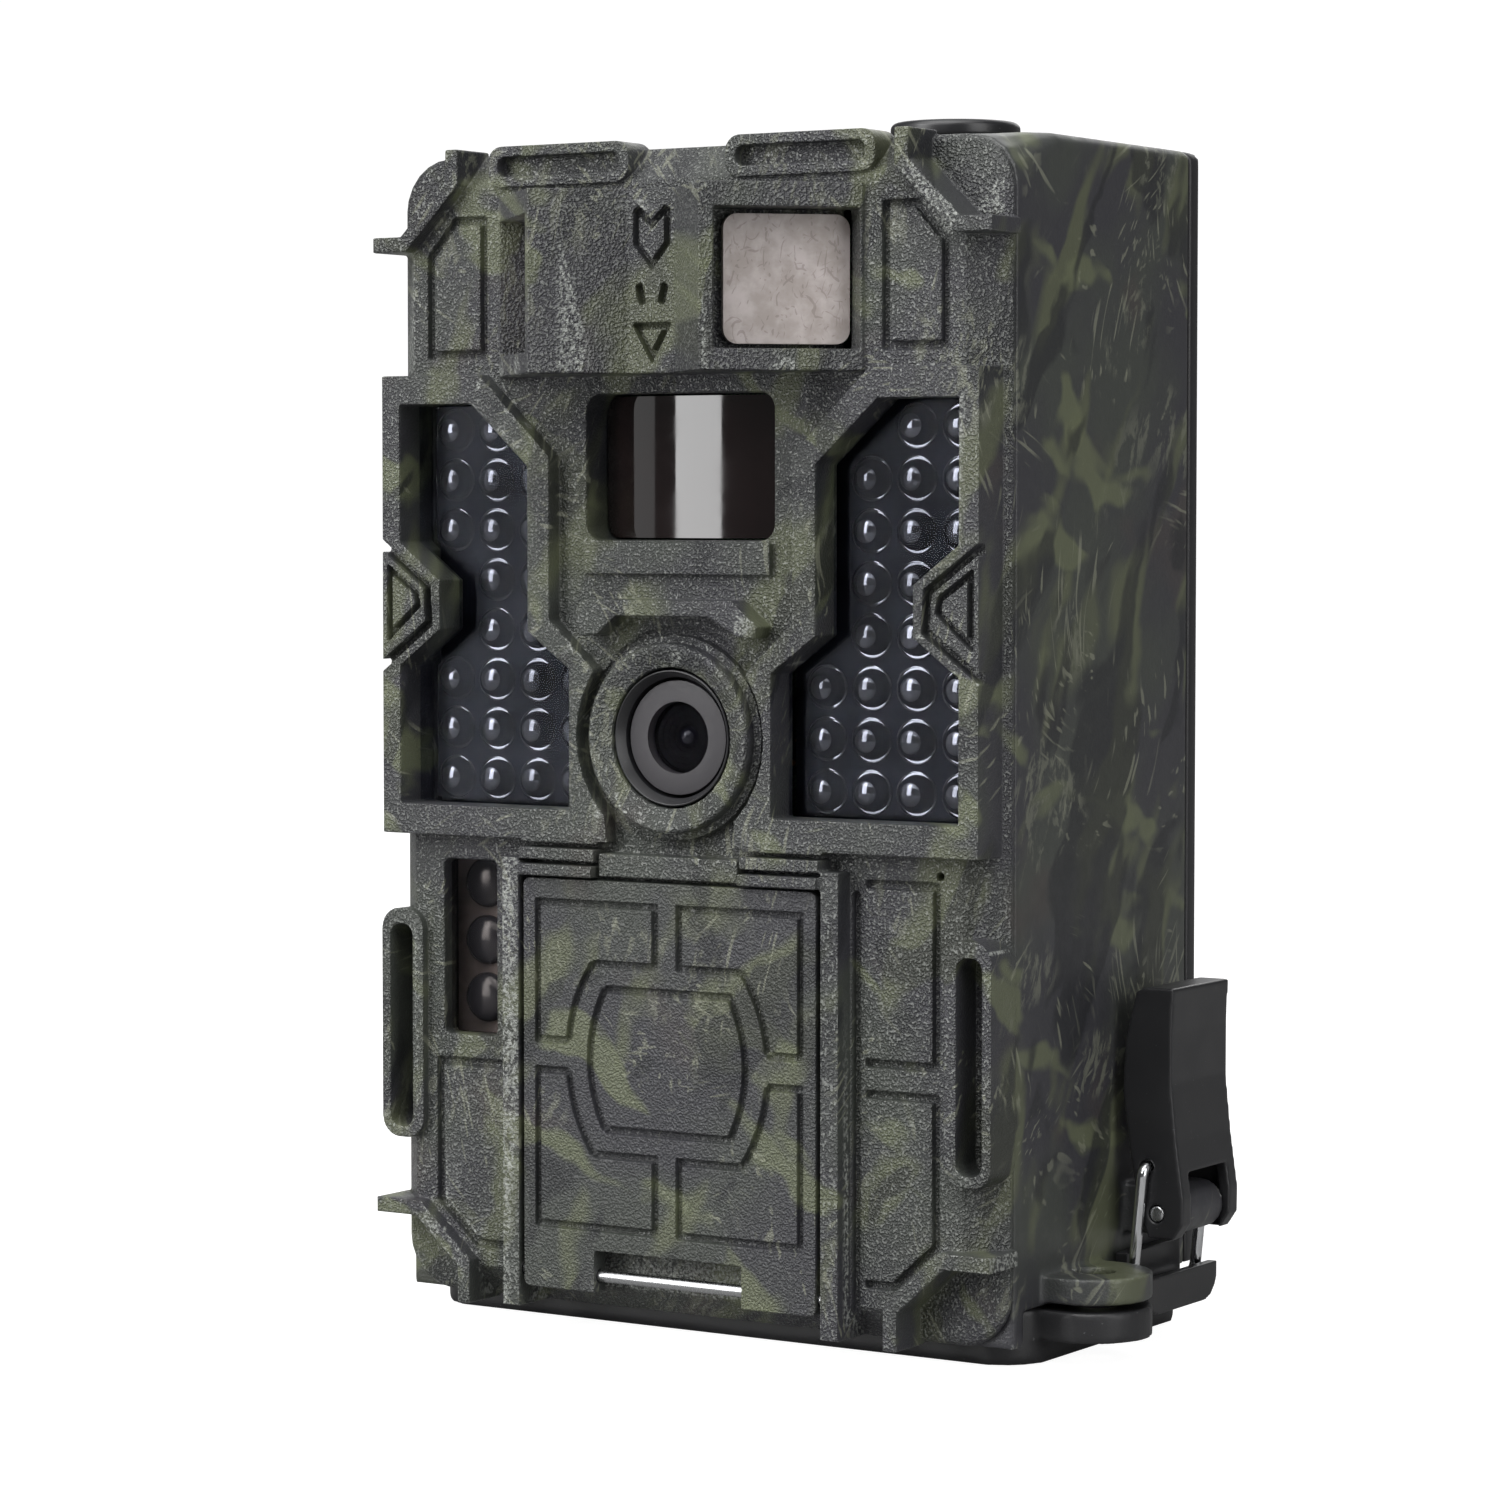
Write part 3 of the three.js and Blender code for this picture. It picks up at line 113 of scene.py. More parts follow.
CASINGS = (
    # node, piece, grid in mm, rounds of smoothing, most triangles, look
    ("front_bezel", "bezel_shell", 0.17, 2, 196000, "camo_front"),
    ("main_housing", "housing_shell", 0.35, 3, 190000, "camo_side"),
    ("front_door", "door_leaf", 0.15, 2, 150000, "camo_door"),
    ("rear_cover", "back_shell", 0.55, 2, 60000, "black"),
    ("rear_bracket", "strap_bracket", 0.5, 3, 60000, "black"),
    ("bottom_cover", "cover_tray", 0.5, 3, 90000, "black"),
    ("latch_lever", "latch_handle", 0.2, 12, 60000, "satin"),
    ("latch_strike", "latch_hook", 0.2, 5, 40000, "satin"),
)
LIGHTS = (
    # name, azimuth, elevation, distance, width, height, power
    ("key_strip", -29, 4, 0.9, 0.30, 1.2, 8.5),
    ("left_panel", -62, 4, 1.0, 0.5, 1.2, 1.3),
    ("right_strip", 72, 14, 1.0, 0.5, 1.0, 5.2),
    ("front_fill", -14, 50, 1.4, 1.8, 1.5, 23),
    ("top_panel", 20, 75, 1.0, 1.0, 1.0, 7),
    ("back_fill", 200, 35, 1.3, 1.0, 1.0, 5),
)
VIEW_AZIMUTH, VIEW_DIP = 32.6, 3.07              # degrees; the view solved from the photograph
VIEW_LENS = 109.56
VIEW_SEAT = (0.3025, -0.4832, 0.1014)

# ------------------------------------------------------------------ meshes


def link(name, mesh):
    piece = bpy.data.objects.new(name, mesh)
    bpy.context.scene.collection.objects.link(piece)
    return piece


def settle(piece):
    """Replaces a piece's mesh by what its modifiers make of it."""
    graph = bpy.context.evaluated_depsgraph_get()
    shaped = bpy.data.meshes.new_from_object(piece.evaluated_get(graph))
    piece.modifiers.clear()
    piece.data = shaped
    return piece


def smooth(piece, degrees=None):
    mesh = piece.data
    mesh.polygons.foreach_set("use_smooth", [True] * len(mesh.polygons))
    if degrees is not None:
        mesh.set_sharp_from_angle(angle=math.radians(degrees))
    mesh.update()
    return piece


def copied(node, name):
    mesh = frame["nodes"][node].data.copy()
    mesh.materials.clear()
    return link(name, mesh)


def moulded(node, name, voxel, rounds, faces, extra=None):
    """A copy of a node's solid with every edge rounded over, as injection moulding leaves it."""
    piece = copied(node, name)
    if extra:
        merge(piece, extra)
    grid = piece.modifiers.new("grid", "REMESH")
    grid.mode = "VOXEL"
    grid.voxel_size = voxel * MM * COARSER
    soften = piece.modifiers.new("soften", "SMOOTH")
    soften.factor = 0.5
    soften.iterations = rounds
    settle(piece)
    count = len(piece.data.polygons) * 2
    if count > faces:
        thin = piece.modifiers.new("thin", "DECIMATE")
        thin.ratio = faces / count
        settle(piece)
    return smooth(piece)


def merge(piece, extra):
    """Adds another piece's mesh to a piece's and deletes the other one."""
    shape = bmesh.new()
    shape.from_mesh(piece.data)
    shape.from_mesh(extra.data)
    shape.to_mesh(piece.data)
    shape.free()
    bpy.data.objects.remove(extra)


def from_bmesh(name, shape):
    bmesh.ops.recalc_face_normals(shape, faces=shape.faces)
    mesh = bpy.data.meshes.new(name)
    shape.to_mesh(mesh)
    shape.free()
    return link(name, mesh)


def eased(profile, radius, steps=4):
    """A profile whose inner corners are rounded; the points are (radius, height)."""
    points = [Vector(p) for p in profile]
    made = [points[0]]
    for before, corner, after in zip(points, points[1:], points[2:]):
        into, out = corner - before, after - corner
        reach = min(radius, into.length * 0.45, out.length * 0.45)
        start, end = corner - into.normalized() * reach, corner + out.normalized() * reach
        for i in range(steps + 1):
            t = i / steps
            made.append(start * (1 - t) ** 2 + corner * 2 * t * (1 - t) + end * t ** 2)
    made.append(points[-1])
    return [tuple(p) for p in made]


def dome(radius, base, top, steps=8):
    """Profile points of a dome from its rim to its tip."""
    quarter = math.pi / 2 / steps
    return [
        (radius * math.cos(i * quarter), base + (top - base) * math.sin(i * quarter))
        for i in range(steps + 1)
    ]


AXES = {
    "X": lambda r, h, c, s: (h, r * c, r * s),
    "Y": lambda r, h, c, s: (r * c, h, r * s),
    "Z": lambda r, h, c, s: (r * c, r * s, h),
}


def add_turned(shape, profile, centre, axis="Y", steps=64):
    """Adds a turned solid to a bmesh. The profile is (radius, height along the axis) in mm."""
    rings = []
    for radius, height in profile:
        count = 1 if radius < 1e-6 else steps
        ring = []
        for i in range(count):
            turn = 2 * math.pi * i / steps
            offset = Vector(AXES[axis](radius, height, math.cos(turn), math.sin(turn)))
            ring.append(shape.verts.new(centre + offset * MM))
        rings.append(ring)
    for near, far in zip(rings, rings[1:]):
        for i in range(steps):
            j = (i + 1) % steps
            corners = (near[i % len(near)], near[j % len(near)],
                       far[j % len(far)], far[i % len(far)])
            unique = list(dict.fromkeys(corners))
            if len(unique) > 2:
                shape.faces.new(unique)


def turned(name, profile, centre, axis="Y", steps=64, degrees=35):
    shape = bmesh.new()
    closed = profile[0][0] > 1e-6
    add_turned(shape, [*profile, profile[0]] if closed else profile, centre, axis, steps)
    bmesh.ops.remove_doubles(shape, verts=shape.verts, dist=1e-7)
    return smooth(from_bmesh(name, shape), degrees)


def bevelled(piece, width, segments=3, degrees=30):
    edge = piece.modifiers.new("edge", "BEVEL")
    edge.width = width * MM
    edge.segments = segments
    edge.limit_method = "ANGLE"
    edge.angle_limit = math.radians(degrees)
    edge.use_clamp_overlap = True
    edge.harden_normals = True
    return piece


# ------------------------------------------------------------------ materials


def linear(code):
    """A colour from its hexadecimal sRGB code."""
    channels = [int(code[i:i + 2], 16) / 255 for i in (1, 3, 5)]
    return (*[c / 12.92 if c <= 0.04045 else ((c + 0.055) / 1.055) ** 2.4 for c in channels], 1.0)


def darker(colour, share):
    return (*[share * c for c in colour[:3]], 1.0)


class Shader:
    """Short calls for building one node material."""

    def __init__(self, name):
        self.material = bpy.data.materials.new(name)
        self.material.use_nodes = True
        self.tree = self.material.node_tree
        self.tree.nodes.clear()
        self.spots = self.node("TexCoord")
        self.place = self.math_vector("SCALE", self.spots.outputs["Object"], scale=1 / MM)

    def node(self, kind, inputs=None, **settings):
        made = self.tree.nodes.new("ShaderNode" + kind)
        for key, value in settings.items():
            setattr(made, key, value)
        for key, value in (inputs or {}).items():
            if isinstance(value, bpy.types.NodeSocket):
                self.tree.links.new(value, made.inputs[key])
            else:
                made.inputs[key].default_value = value
        return made

    def math_vector(self, operation, first, second=None, scale=None):
        inputs = {0: first}
        if second is not None:
            inputs[1] = second
        if scale is not None:
            inputs["Scale"] = scale
        return self.node("VectorMath", inputs, operation=operation).outputs["Vector"]

    def math(self, operation, first, second=0.0, third=0.0):
        return self.node("Math", {0: first, 1: second, 2: third}, operation=operation).outputs[0]

    def noise(self, vector, scale, detail=3.0, roughness=0.5, distortion=0.0):
        inputs = {"Vector": vector, "Scale": scale, "Detail": detail, "Roughness": roughness,
                  "Distortion": distortion}
        return self.node("TexNoise", inputs).outputs["Fac"]

    def range(self, value, low, high, to_low=0.0, to_high=1.0):
        inputs = {0: value, 1: low, 2: high, 3: to_low, 4: to_high}
        return self.node("MapRange", inputs, interpolation_type="SMOOTHSTEP").outputs[0]

    def mix(self, amount, first, second):
        made = self.node("Mix", data_type="RGBA")
        for key, value in ((0, amount), (6, first), (7, second)):
            if isinstance(value, bpy.types.NodeSocket):
                self.tree.links.new(value, made.inputs[key])
            else:
                made.inputs[key].default_value = value
        return made.outputs[2]

    def turned_place(self, vector, degrees, stretch):
        """The pattern's plane turned by an angle, then squeezed along one direction."""
        inputs = {"Vector": vector, "Rotation": (0, 0, math.radians(degrees)), "Scale": stretch}
        return self.node("Mapping", inputs, vector_type="TEXTURE").outputs[0]

    def bump(self, height, strength, distance, normal=None):
        inputs = {"Height": height, "Strength": strength, "Distance": distance * MM}
        if normal is not None:
            inputs["Normal"] = normal
        return self.node("Bump", inputs).outputs[0]

    def finish(self, colour, roughness, normal=None, **more):
        inputs = {"Base Color": colour, "Roughness": roughness}
        if normal is not None:
            inputs["Normal"] = normal
        inputs.update({key.replace("_", " "): value for key, value in more.items()})
        return self.output(self.node("BsdfPrincipled", inputs).outputs[0])

    def output(self, surface):
        self.node("OutputMaterial", {"Surface": surface})
        return self.material


def film_plane(shader):
    """Flattens the object's place to the two directions of a printed film wrapped round it."""
    x, y, z = shader.node("SeparateXYZ", {0: shader.place}).outputs
    across = shader.math("MULTIPLY_ADD", y, 0.9, x)
    up = shader.math("MULTIPLY_ADD", y, -0.32, z)
    return shader.node("CombineXYZ", {0: across, 1: up, 2: 0.0}).outputs[0]


GROUND_DARK = linear("#333337")
GROUND_GREEN = linear("#3a3d39")
OLIVE = linear("#545843")
MOSS = linear("#60654c")
BARK = linear("#6b6d60")
STRAW = linear("#8c8e7c")
EARTH = linear("#403a38")
SOOT = linear("#1f2023")
# Pale grey for rubbed wear and for painted glints and sheen on edges and stipple tips
WEAR_AND_GLINT_GREY = linear("#a2a5a0")


def camouflage(shader):
    """Leaves, bark and grass printed over dark grey plastic."""
    film = film_plane(shader)
    warp = shader.node("TexNoise", {"Vector": film, "Scale": 0.05, "Detail": 3.0}).outputs["Color"]
    centred = shader.math_vector("SUBTRACT", warp, (0.5, 0.5, 0.5))
    bent = shader.math_vector("ADD", film, shader.math_vector("SCALE", centred, scale=14.0))
    ground = shader.mix(
        shader.range(shader.noise(bent, 0.035, 3), 0.42, 0.6), GROUND_DARK, GROUND_GREEN)
    earth = shader.range(shader.noise(bent, 0.05, 2), 0.58, 0.7)
    ground = shader.mix(shader.math("MULTIPLY", earth, 0.6), ground, EARTH)
    slanted = shader.turned_place(bent, 62, (2.4, 1.0, 1.0))
    olive = shader.range(shader.noise(slanted, 0.085, 2, 0.5), 0.53, 0.62)
    colour = shader.mix(shader.math("MULTIPLY", olive, 0.8), ground, OLIVE)
    leaning = shader.turned_place(bent, -35, (2.8, 1.0, 1.0))
    moss = shader.range(shader.noise(leaning, 0.12, 2, 0.5), 0.58, 0.65)
    colour = shader.mix(shader.math("MULTIPLY", moss, 0.7), colour, MOSS)
    soot = shader.range(shader.noise(slanted, 0.09, 2, 0.5, 0.6), 0.54, 0.6)
    colour = shader.mix(shader.math("MULTIPLY", soot, 0.75), colour, SOOT)
    flakes = shader.noise(shader.turned_place(bent, 80, (3.0, 1, 1)), 0.5, 6, 0.7)
    trunk = shader.range(shader.noise(film, 0.045, 1), 0.56, 0.62)
    bark = shader.math("MULTIPLY", shader.range(flakes, 0.52, 0.6), trunk)
    colour = shader.mix(shader.math("MULTIPLY", bark, 0.6), colour, BARK)
    gentle = shader.node("TexNoise", {"Vector": film, "Scale": 0.035, "Detail": 0.5})
    sway = shader.math_vector("SCALE", gentle.outputs["Color"], scale=22.0)
    swayed = shader.math_vector("ADD", film, sway)
    return shader.mix(shader.math("MULTIPLY", grass(shader, swayed), 0.42), colour, STRAW)


def grass(shader, film):
    """Bundles of thin pale strokes that lie in several directions."""
    strokes = None
    for degrees, spot in ((24, 11.0), (-38, 37.0), (71, 53.0), (102, 71.0)):
        moved = shader.math_vector("ADD", film, (spot, spot * 1.7, spot * 0.6))
        blades = shader.noise(shader.turned_place(moved, degrees, (18.0, 1.0, 1.0)), 1.3, 1, 0.4)
        sharp = shader.range(blades, 0.62, 0.70)
        bundle = shader.range(shader.noise(moved, 0.055, 2), 0.56, 0.64)
        part = shader.math("MULTIPLY", sharp, bundle)
        strokes = part if strokes is None else shader.math("MAXIMUM", strokes, part)
    return strokes


def camo_material(name, stipple, roughness, edge_wear_and_glint=0.6, polish=0.0):
    """Printed plastic; the mould's stipple shows on faces that look forward. Edges and forward
    stipple tips are lightened, partly as wear and partly as painted glint and sheen.
    """
    shader = Shader(name)
    colour = camouflage(shader)
    # Sharp edges lightened in specks: partly rubbed wear, partly a painted glint where edges catch
    # the light
    edges = shader.range(shader.node("NewGeometry").outputs["Pointiness"], 0.53, 0.60)
    specks = shader.range(shader.noise(shader.place, 2.2, 2, 0.6), 0.44, 0.60)
    edge_wear_glint = shader.math("MULTIPLY", shader.math("MULTIPLY", edges, specks), edge_wear_and_glint)
    colour = shader.mix(edge_wear_glint, colour, WEAR_AND_GLINT_GREY)
    normal = shader.node("SeparateXYZ", {0: shader.spots.outputs["Normal"]})
    forward = shader.range(shader.math("MULTIPLY", normal.outputs[1], -1.0), 0.3, 0.75)
    grain = shader.noise(shader.place, 3.2, 1.2, 0.5)
    pebbles = shader.range(grain, 0.33, 0.67)
    # Peaks of the stipple on forward faces lightened by polish: partly worn tips, partly a painted
    # sheen of light on them
    tip_wear_and_sheen = shader.math("MULTIPLY", shader.range(grain, 0.52, 0.70), forward)
    colour = shader.mix(shader.math("MULTIPLY", tip_wear_and_sheen, polish), colour, WEAR_AND_GLINT_GREY)
    height = shader.math("MULTIPLY", pebbles, shader.math("MULTIPLY_ADD", forward, 0.85, 0.15))
    coarse = shader.bump(height, 1.0, 0.20 * stipple)
    fine = shader.bump(shader.noise(shader.place, 6.0, 2), 0.25, 0.03, coarse)
    cloud = shader.noise(shader.place, 0.35, 3)
    gloss = shader.range(cloud, 0.3, 0.7, roughness - 0.05, roughness + 0.07)
    return shader.finish(colour, gloss, fine, Specular_IOR_Level=0.5)


def black_plastic(name, roughness=0.42, grain=0.4):
    shader = Shader(name)
    cloud = shader.noise(shader.place, 0.12, 3)
    colour = shader.mix(cloud, linear("#19191b"), linear("#232325"))
    dust = shader.range(shader.noise(shader.place, 2.8, 1), 0.74, 0.8)
    colour = shader.mix(shader.math("MULTIPLY", dust, 0.3), colour, linear("#77787a"))
    texture = shader.bump(shader.noise(shader.place, 3.2, 3, 0.6), grain, 0.05)
    gloss = shader.range(cloud, 0.3, 0.7, roughness - 0.04, roughness + 0.06)
    return shader.finish(colour, gloss, texture)


def metal(name, code, roughness, scratches=0.15):
    shader = Shader(name)
    drawn = shader.noise(shader.turned_place(shader.place, 0, (1, 1, 9.0)), 3.0, 3)
    bright = linear(code)
    colour = shader.mix(shader.range(drawn, 0.3, 0.7), bright, darker(bright, 0.82))
    gloss = shader.range(drawn, 0.35, 0.75, roughness, roughness * 1.7)
    texture = shader.bump(drawn, scratches, 0.02)
    return shader.finish(colour, gloss, texture, Metallic=1.0)


def pane(name, tint, coat):
    """A thin clear sheet: light passes straight through its tint and mirrors off its face."""
    shader = Shader(name)
    smear = shader.noise(shader.place, 0.12, 3, 0.6, 0.8)
    colour = shader.mix(shader.range(smear, 0.35, 0.7), tint, darker(tint, 0.8))
    clear = shader.node("BsdfTransparent", {"Color": colour})
    gloss = shader.node("BsdfGlossy", {
        "Roughness": shader.range(smear, 0.4, 0.7, 0.03, 0.09), "Color": (0.9, 0.93, 1.0, 1)})
    mirror = shader.node("Fresnel", {"IOR": 1.5}).outputs[0]
    amount = shader.math("MULTIPLY", mirror, coat)
    both = shader.node("MixShader", {0: amount, 1: clear.outputs[0], 2: gloss.outputs[0]})
    return shader.output(both.outputs[0])


def dark_lens(name, low, high, roughness=0.04):
    shader = Shader(name)
    cloud = shader.noise(shader.place, 0.16, 3, 0.6, 0.4)
    colour = shader.mix(cloud, linear(low), linear(high))
    texture = shader.bump(shader.noise(shader.place, 0.25, 2), 0.1, 0.02)
    gloss = shader.range(cloud, 0.35, 0.7, roughness, roughness + 0.05)
    return shader.finish(colour, gloss, texture, IOR=1.6)


def matt(name, low, high):
    """A dull surface that mirrors next to nothing."""
    shader = Shader(name)
    cloud = shader.noise(shader.place, 0.16, 3, 0.6, 0.4)
    colour = shader.mix(cloud, linear(low), linear(high))
    texture = shader.bump(shader.noise(shader.place, 2.5, 2), 0.2, 0.02)
    gloss = shader.range(cloud, 0.35, 0.7, 0.6, 0.75)
    return shader.finish(colour, gloss, texture, Specular_IOR_Level=0.02)


def frosted_lens(name):
    """Milky moulded lens with a few scuffs."""
    shader = Shader(name)
    cloud = shader.noise(shader.place, 0.28, 4, 0.6)
    colour = shader.mix(shader.range(cloud, 0.35, 0.68), linear("#9a918c"), linear("#b3aaa8"))
    scratches = None
    for degrees, spot in ((12, 5.0), (58, 23.0), (-47, 41.0), (97, 67.0)):
        moved = shader.math_vector("ADD", film_plane(shader), (spot, spot, 0))
        bent = shader.node("TexNoise", {"Vector": moved, "Scale": 0.2}).outputs["Color"]
        curved = shader.math_vector("ADD", moved, shader.math_vector("SCALE", bent, scale=5.0))
        line = shader.noise(shader.turned_place(curved, degrees, (16, 1, 1)), 1.9, 1, 0.3)
        sharp = shader.range(line, 0.685, 0.72)
        scratches = sharp if scratches is None else shader.math("MAXIMUM", scratches, sharp)
    colour = shader.mix(shader.math("MULTIPLY", scratches, 0.4), colour, linear("#6c5f5a"))
    texture = shader.bump(shader.math("ADD", scratches, cloud), 0.25, 0.05)
    return shader.finish(colour, 0.42, texture)


def circuit_board(name):
    shader = Shader(name)
    traces = shader.node("TexBrick", {
        "Vector": shader.turned_place(film_plane(shader), 45, (1, 1, 1)), "Scale": 0.55,
        "Mortar Size": 0.06, "Color1": (1, 1, 1, 1), "Color2": (0.7, 0.7, 0.7, 1),
        "Mortar": (0, 0, 0, 1)})
    colour = shader.mix(traces.outputs["Fac"], linear("#16351f"), linear("#2b5a35"))
    pads = shader.node("TexVoronoi", {"Vector": film_plane(shader), "Scale": 0.32})
    dot = shader.range(pads.outputs["Distance"], 0.16, 0.13)
    colour = shader.mix(dot, colour, linear("#b59a55"))
    texture = shader.bump(traces.outputs["Fac"], 0.3, 0.04)
    return shader.finish(colour, shader.range(dot, 0, 1, 0.45, 0.3), texture, Metallic=dot)


def rubber(name):
    shader = Shader(name)
    cloud = shader.noise(shader.place, 0.4, 3)
    colour = shader.mix(cloud, linear("#151515"), linear("#262625"))
    texture = shader.bump(shader.noise(shader.place, 3.0, 3), 0.5, 0.05)
    return shader.finish(colour, shader.range(cloud, 0.3, 0.7, 0.7, 0.85), texture)


def key_plastic(name):
    shader = Shader(name)
    cloud = shader.noise(shader.place, 0.7, 3)
    colour = shader.mix(cloud, linear("#4c5052"), linear("#62666a"))
    texture = shader.bump(shader.noise(shader.place, 5.0, 2), 0.3, 0.03)
    return shader.finish(colour, shader.range(cloud, 0.3, 0.7, 0.5, 0.62), texture)


def cell_sleeve(name):
    """Shrink sleeve with two plain bands."""
    shader = Shader(name)
    height = shader.node("SeparateXYZ", {0: shader.place}).outputs[2]
    band = shader.range(shader.math("PINGPONG", height, 9.0), 6.0, 6.3)
    colour = shader.mix(band, linear("#274d70"), linear("#a8acb0"))
    scuff = shader.noise(shader.place, 1.4, 3)
    colour = shader.mix(shader.range(scuff, 0.62, 0.7, 0, 0.4), colour, linear("#d0d0cc"))
    gloss = shader.range(scuff, 0.3, 0.7, 0.3, 0.42)
    return shader.finish(colour, gloss, shader.bump(scuff, 0.2, 0.03))


def lens_grey(name):
    shader = Shader(name)
    cloud = shader.noise(shader.place, 2.0, 3)
    colour = shader.mix(cloud, linear("#2a282b"), linear("#302e32"))
    texture = shader.bump(shader.noise(shader.place, 9.0, 2), 0.2, 0.02)
    return shader.finish(colour, shader.range(cloud, 0.3, 0.7, 0.5, 0.6), texture)


def lamp_epoxy(name):
    """Dark infrared lamp bodies, polished where they look forward and dull round their sides."""
    shader = Shader(name)
    cloud = shader.noise(shader.place, 0.9, 2)
    colour = shader.mix(cloud, linear("#0a0a0d"), linear("#121318"))
    normal = shader.node("SeparateXYZ", {0: shader.spots.outputs["Normal"]})
    polish = shader.range(shader.math("MULTIPLY", normal.outputs[1], -1.0), 0.88, 0.95)
    mirror = shader.math("MULTIPLY", polish, 0.5)
    return shader.finish(colour, shader.range(cloud, 0.3, 0.7, 0.05, 0.08), IOR=2.2,
                         Specular_IOR_Level=mirror, Coat_Weight=polish, Coat_Roughness=0.03)


def studio_white(name):
    """The floor: plain white to the camera, and dim to everything that stands on it."""
    shader = Shader(name)
    cloud = shader.noise(shader.place, 0.002, 2)
    colour = shader.mix(cloud, (0.24, 0.24, 0.24, 1), (0.28, 0.28, 0.28, 1))
    seen = shader.node("LightPath").outputs["Is Camera Ray"]
    glow = shader.range(seen, 0, 1, 0.05, 0.95)
    return shader.finish(colour, 0.9, Specular_IOR_Level=0.1, Emission_Color=(1, 1, 1, 1),
                         Emission_Strength=glow)


LOOKS = {
    # The last two numbers set edge wear with painted glint, and stipple-tip wear with painted
    # sheen
    "camo_front": camo_material("camo_front", 1.0, 0.40, 0.6, 0.32),
    "camo_side": camo_material("camo_side", 0.10, 0.42),
    "camo_door": camo_material("camo_door", 0.85, 0.43, 0.0, 0.06),
    "black": black_plastic("black_plastic"),
    "satin": black_plastic("satin_black", 0.36, 0.15),
    "pane": pane("lamp_pane", (0.88, 0.89, 0.93, 1), 0.04),
    "status": pane("status_pane", (0.88, 0.86, 0.85, 1), 0.06),
    "cover": pane("cover_pane", (0.84, 0.84, 0.87, 1), 0.01),
    "tray": matt("lamp_tray", "#141519", "#22242b"),
    "card": matt("status_card", "#77706f", "#867e7c"),
    "baffle": matt("lens_baffle", "#060607", "#09090a"),
    "window": dark_lens("window_brown", "#0f0b0b", "#1a1212"),
    "screen": dark_lens("screen_glass", "#0b0c10", "#14161c"),
    "glass": dark_lens("lens_coating", "#08080c", "#141420", 0.02),
    "frosted": frosted_lens("frosted_lens"),
    "board": circuit_board("circuit_board"),
    "steel": metal("bare_steel", "#b4b5b6", 0.22),
    "chrome": metal("chrome_wire", "#d6d7d9", 0.09, 0.05),
    "brass": metal("brass", "#b9984f", 0.28),
    "rubber": rubber("seal_rubber"),
    "key": key_plastic("key_plastic"),
    "sleeve": cell_sleeve("cell_sleeve"),
    "grey": lens_grey("lens_grey"),
    "lamp": lamp_epoxy("lamp_epoxy"),
    "light": dark_lens("status_light", "#33343a", "#3c3d43", 0.16),
    "floor": studio_white("studio_white"),
}


def wear(piece, look):
    piece.data.materials.clear()
    piece.data.materials.append(LOOKS[look])
    return piece


def place(piece, look, *nodes, body=None):
    """Gives a new piece its look, its body and the nodes that it stands for."""
    wear(piece, look)
    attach(piece, body or frame["nodes"][nodes[0]]["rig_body"])
    if nodes:
        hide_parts(*nodes)
    return piece


def keep(node, look, bevel=0.0):
    """A CAD node that stays as it is, with a better surface."""
    piece = frame["nodes"][node]
    if not piece.data.materials:
        piece.data.materials.append(LOOKS[look])
    for n in range(len(piece.material_slots)):
        piece.material_slots[n].link = "OBJECT"
        piece.material_slots[n].material = LOOKS[look]
    if bevel:
        weld = piece.modifiers.new("weld", "WELD")
        weld.merge_threshold = 1e-6
        bevelled(piece, bevel)
    return piece


# ------------------------------------------------------------------ casings


def casings():
    for node, name, voxel, rounds, faces, look in CASINGS:
        extra = strike_lip() if node == "latch_strike" else None
        place(moulded(node, name, voxel, rounds, faces, extra), look, node)


def strike_lip():
    """The hooked lip outside the bail's crossbar, with rounded lower corners."""
    low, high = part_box("latch_strike")
    bail_low, bail_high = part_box("latch_bail")
    thick, proud, corner = 1.0 * MM, 1.2 * MM, 3.6 * MM
    near, far = bail_low.y - 0.2 * MM, bail_high.y + 0.6 * MM
    foot, crest = low.z + 0.1 * MM, bail_low.z + 2.0 * MM
    outline = [(near, crest), (far, crest)]
    for centre, start in ((far - corner, 0.0), (near + corner, -math.pi / 2)):
        outline += [
            (centre + corner * math.cos(start - math.pi / 12 * n),
             foot + corner + corner * math.sin(start - math.pi / 12 * n))
            for n in range(7)
        ]
    inner = high.x - thick
    shape = bmesh.new()
    sheet = shape.faces.new([shape.verts.new((inner, y, z)) for y, z in outline])
    grown = bmesh.ops.extrude_face_region(shape, geom=[sheet])
    moved = [part for part in grown["geom"] if isinstance(part, bmesh.types.BMVert)]
    bmesh.ops.translate(shape, verts=moved, vec=(proud, 0, 0))
    return from_bmesh("lip", shape)


# ------------------------------------------------------------------ hardware


def pin(name, node, axis, radius):
    """A rod with slightly domed ends along the longest side of its node."""
    low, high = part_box(node)
    half = max(high - low) / 2 / MM
    profile = eased([(0, -half), (radius, -half), (radius, half), (0, half)], radius * 0.35)
    return place(turned(name, profile, middle(node), axis, 48), "steel", node)


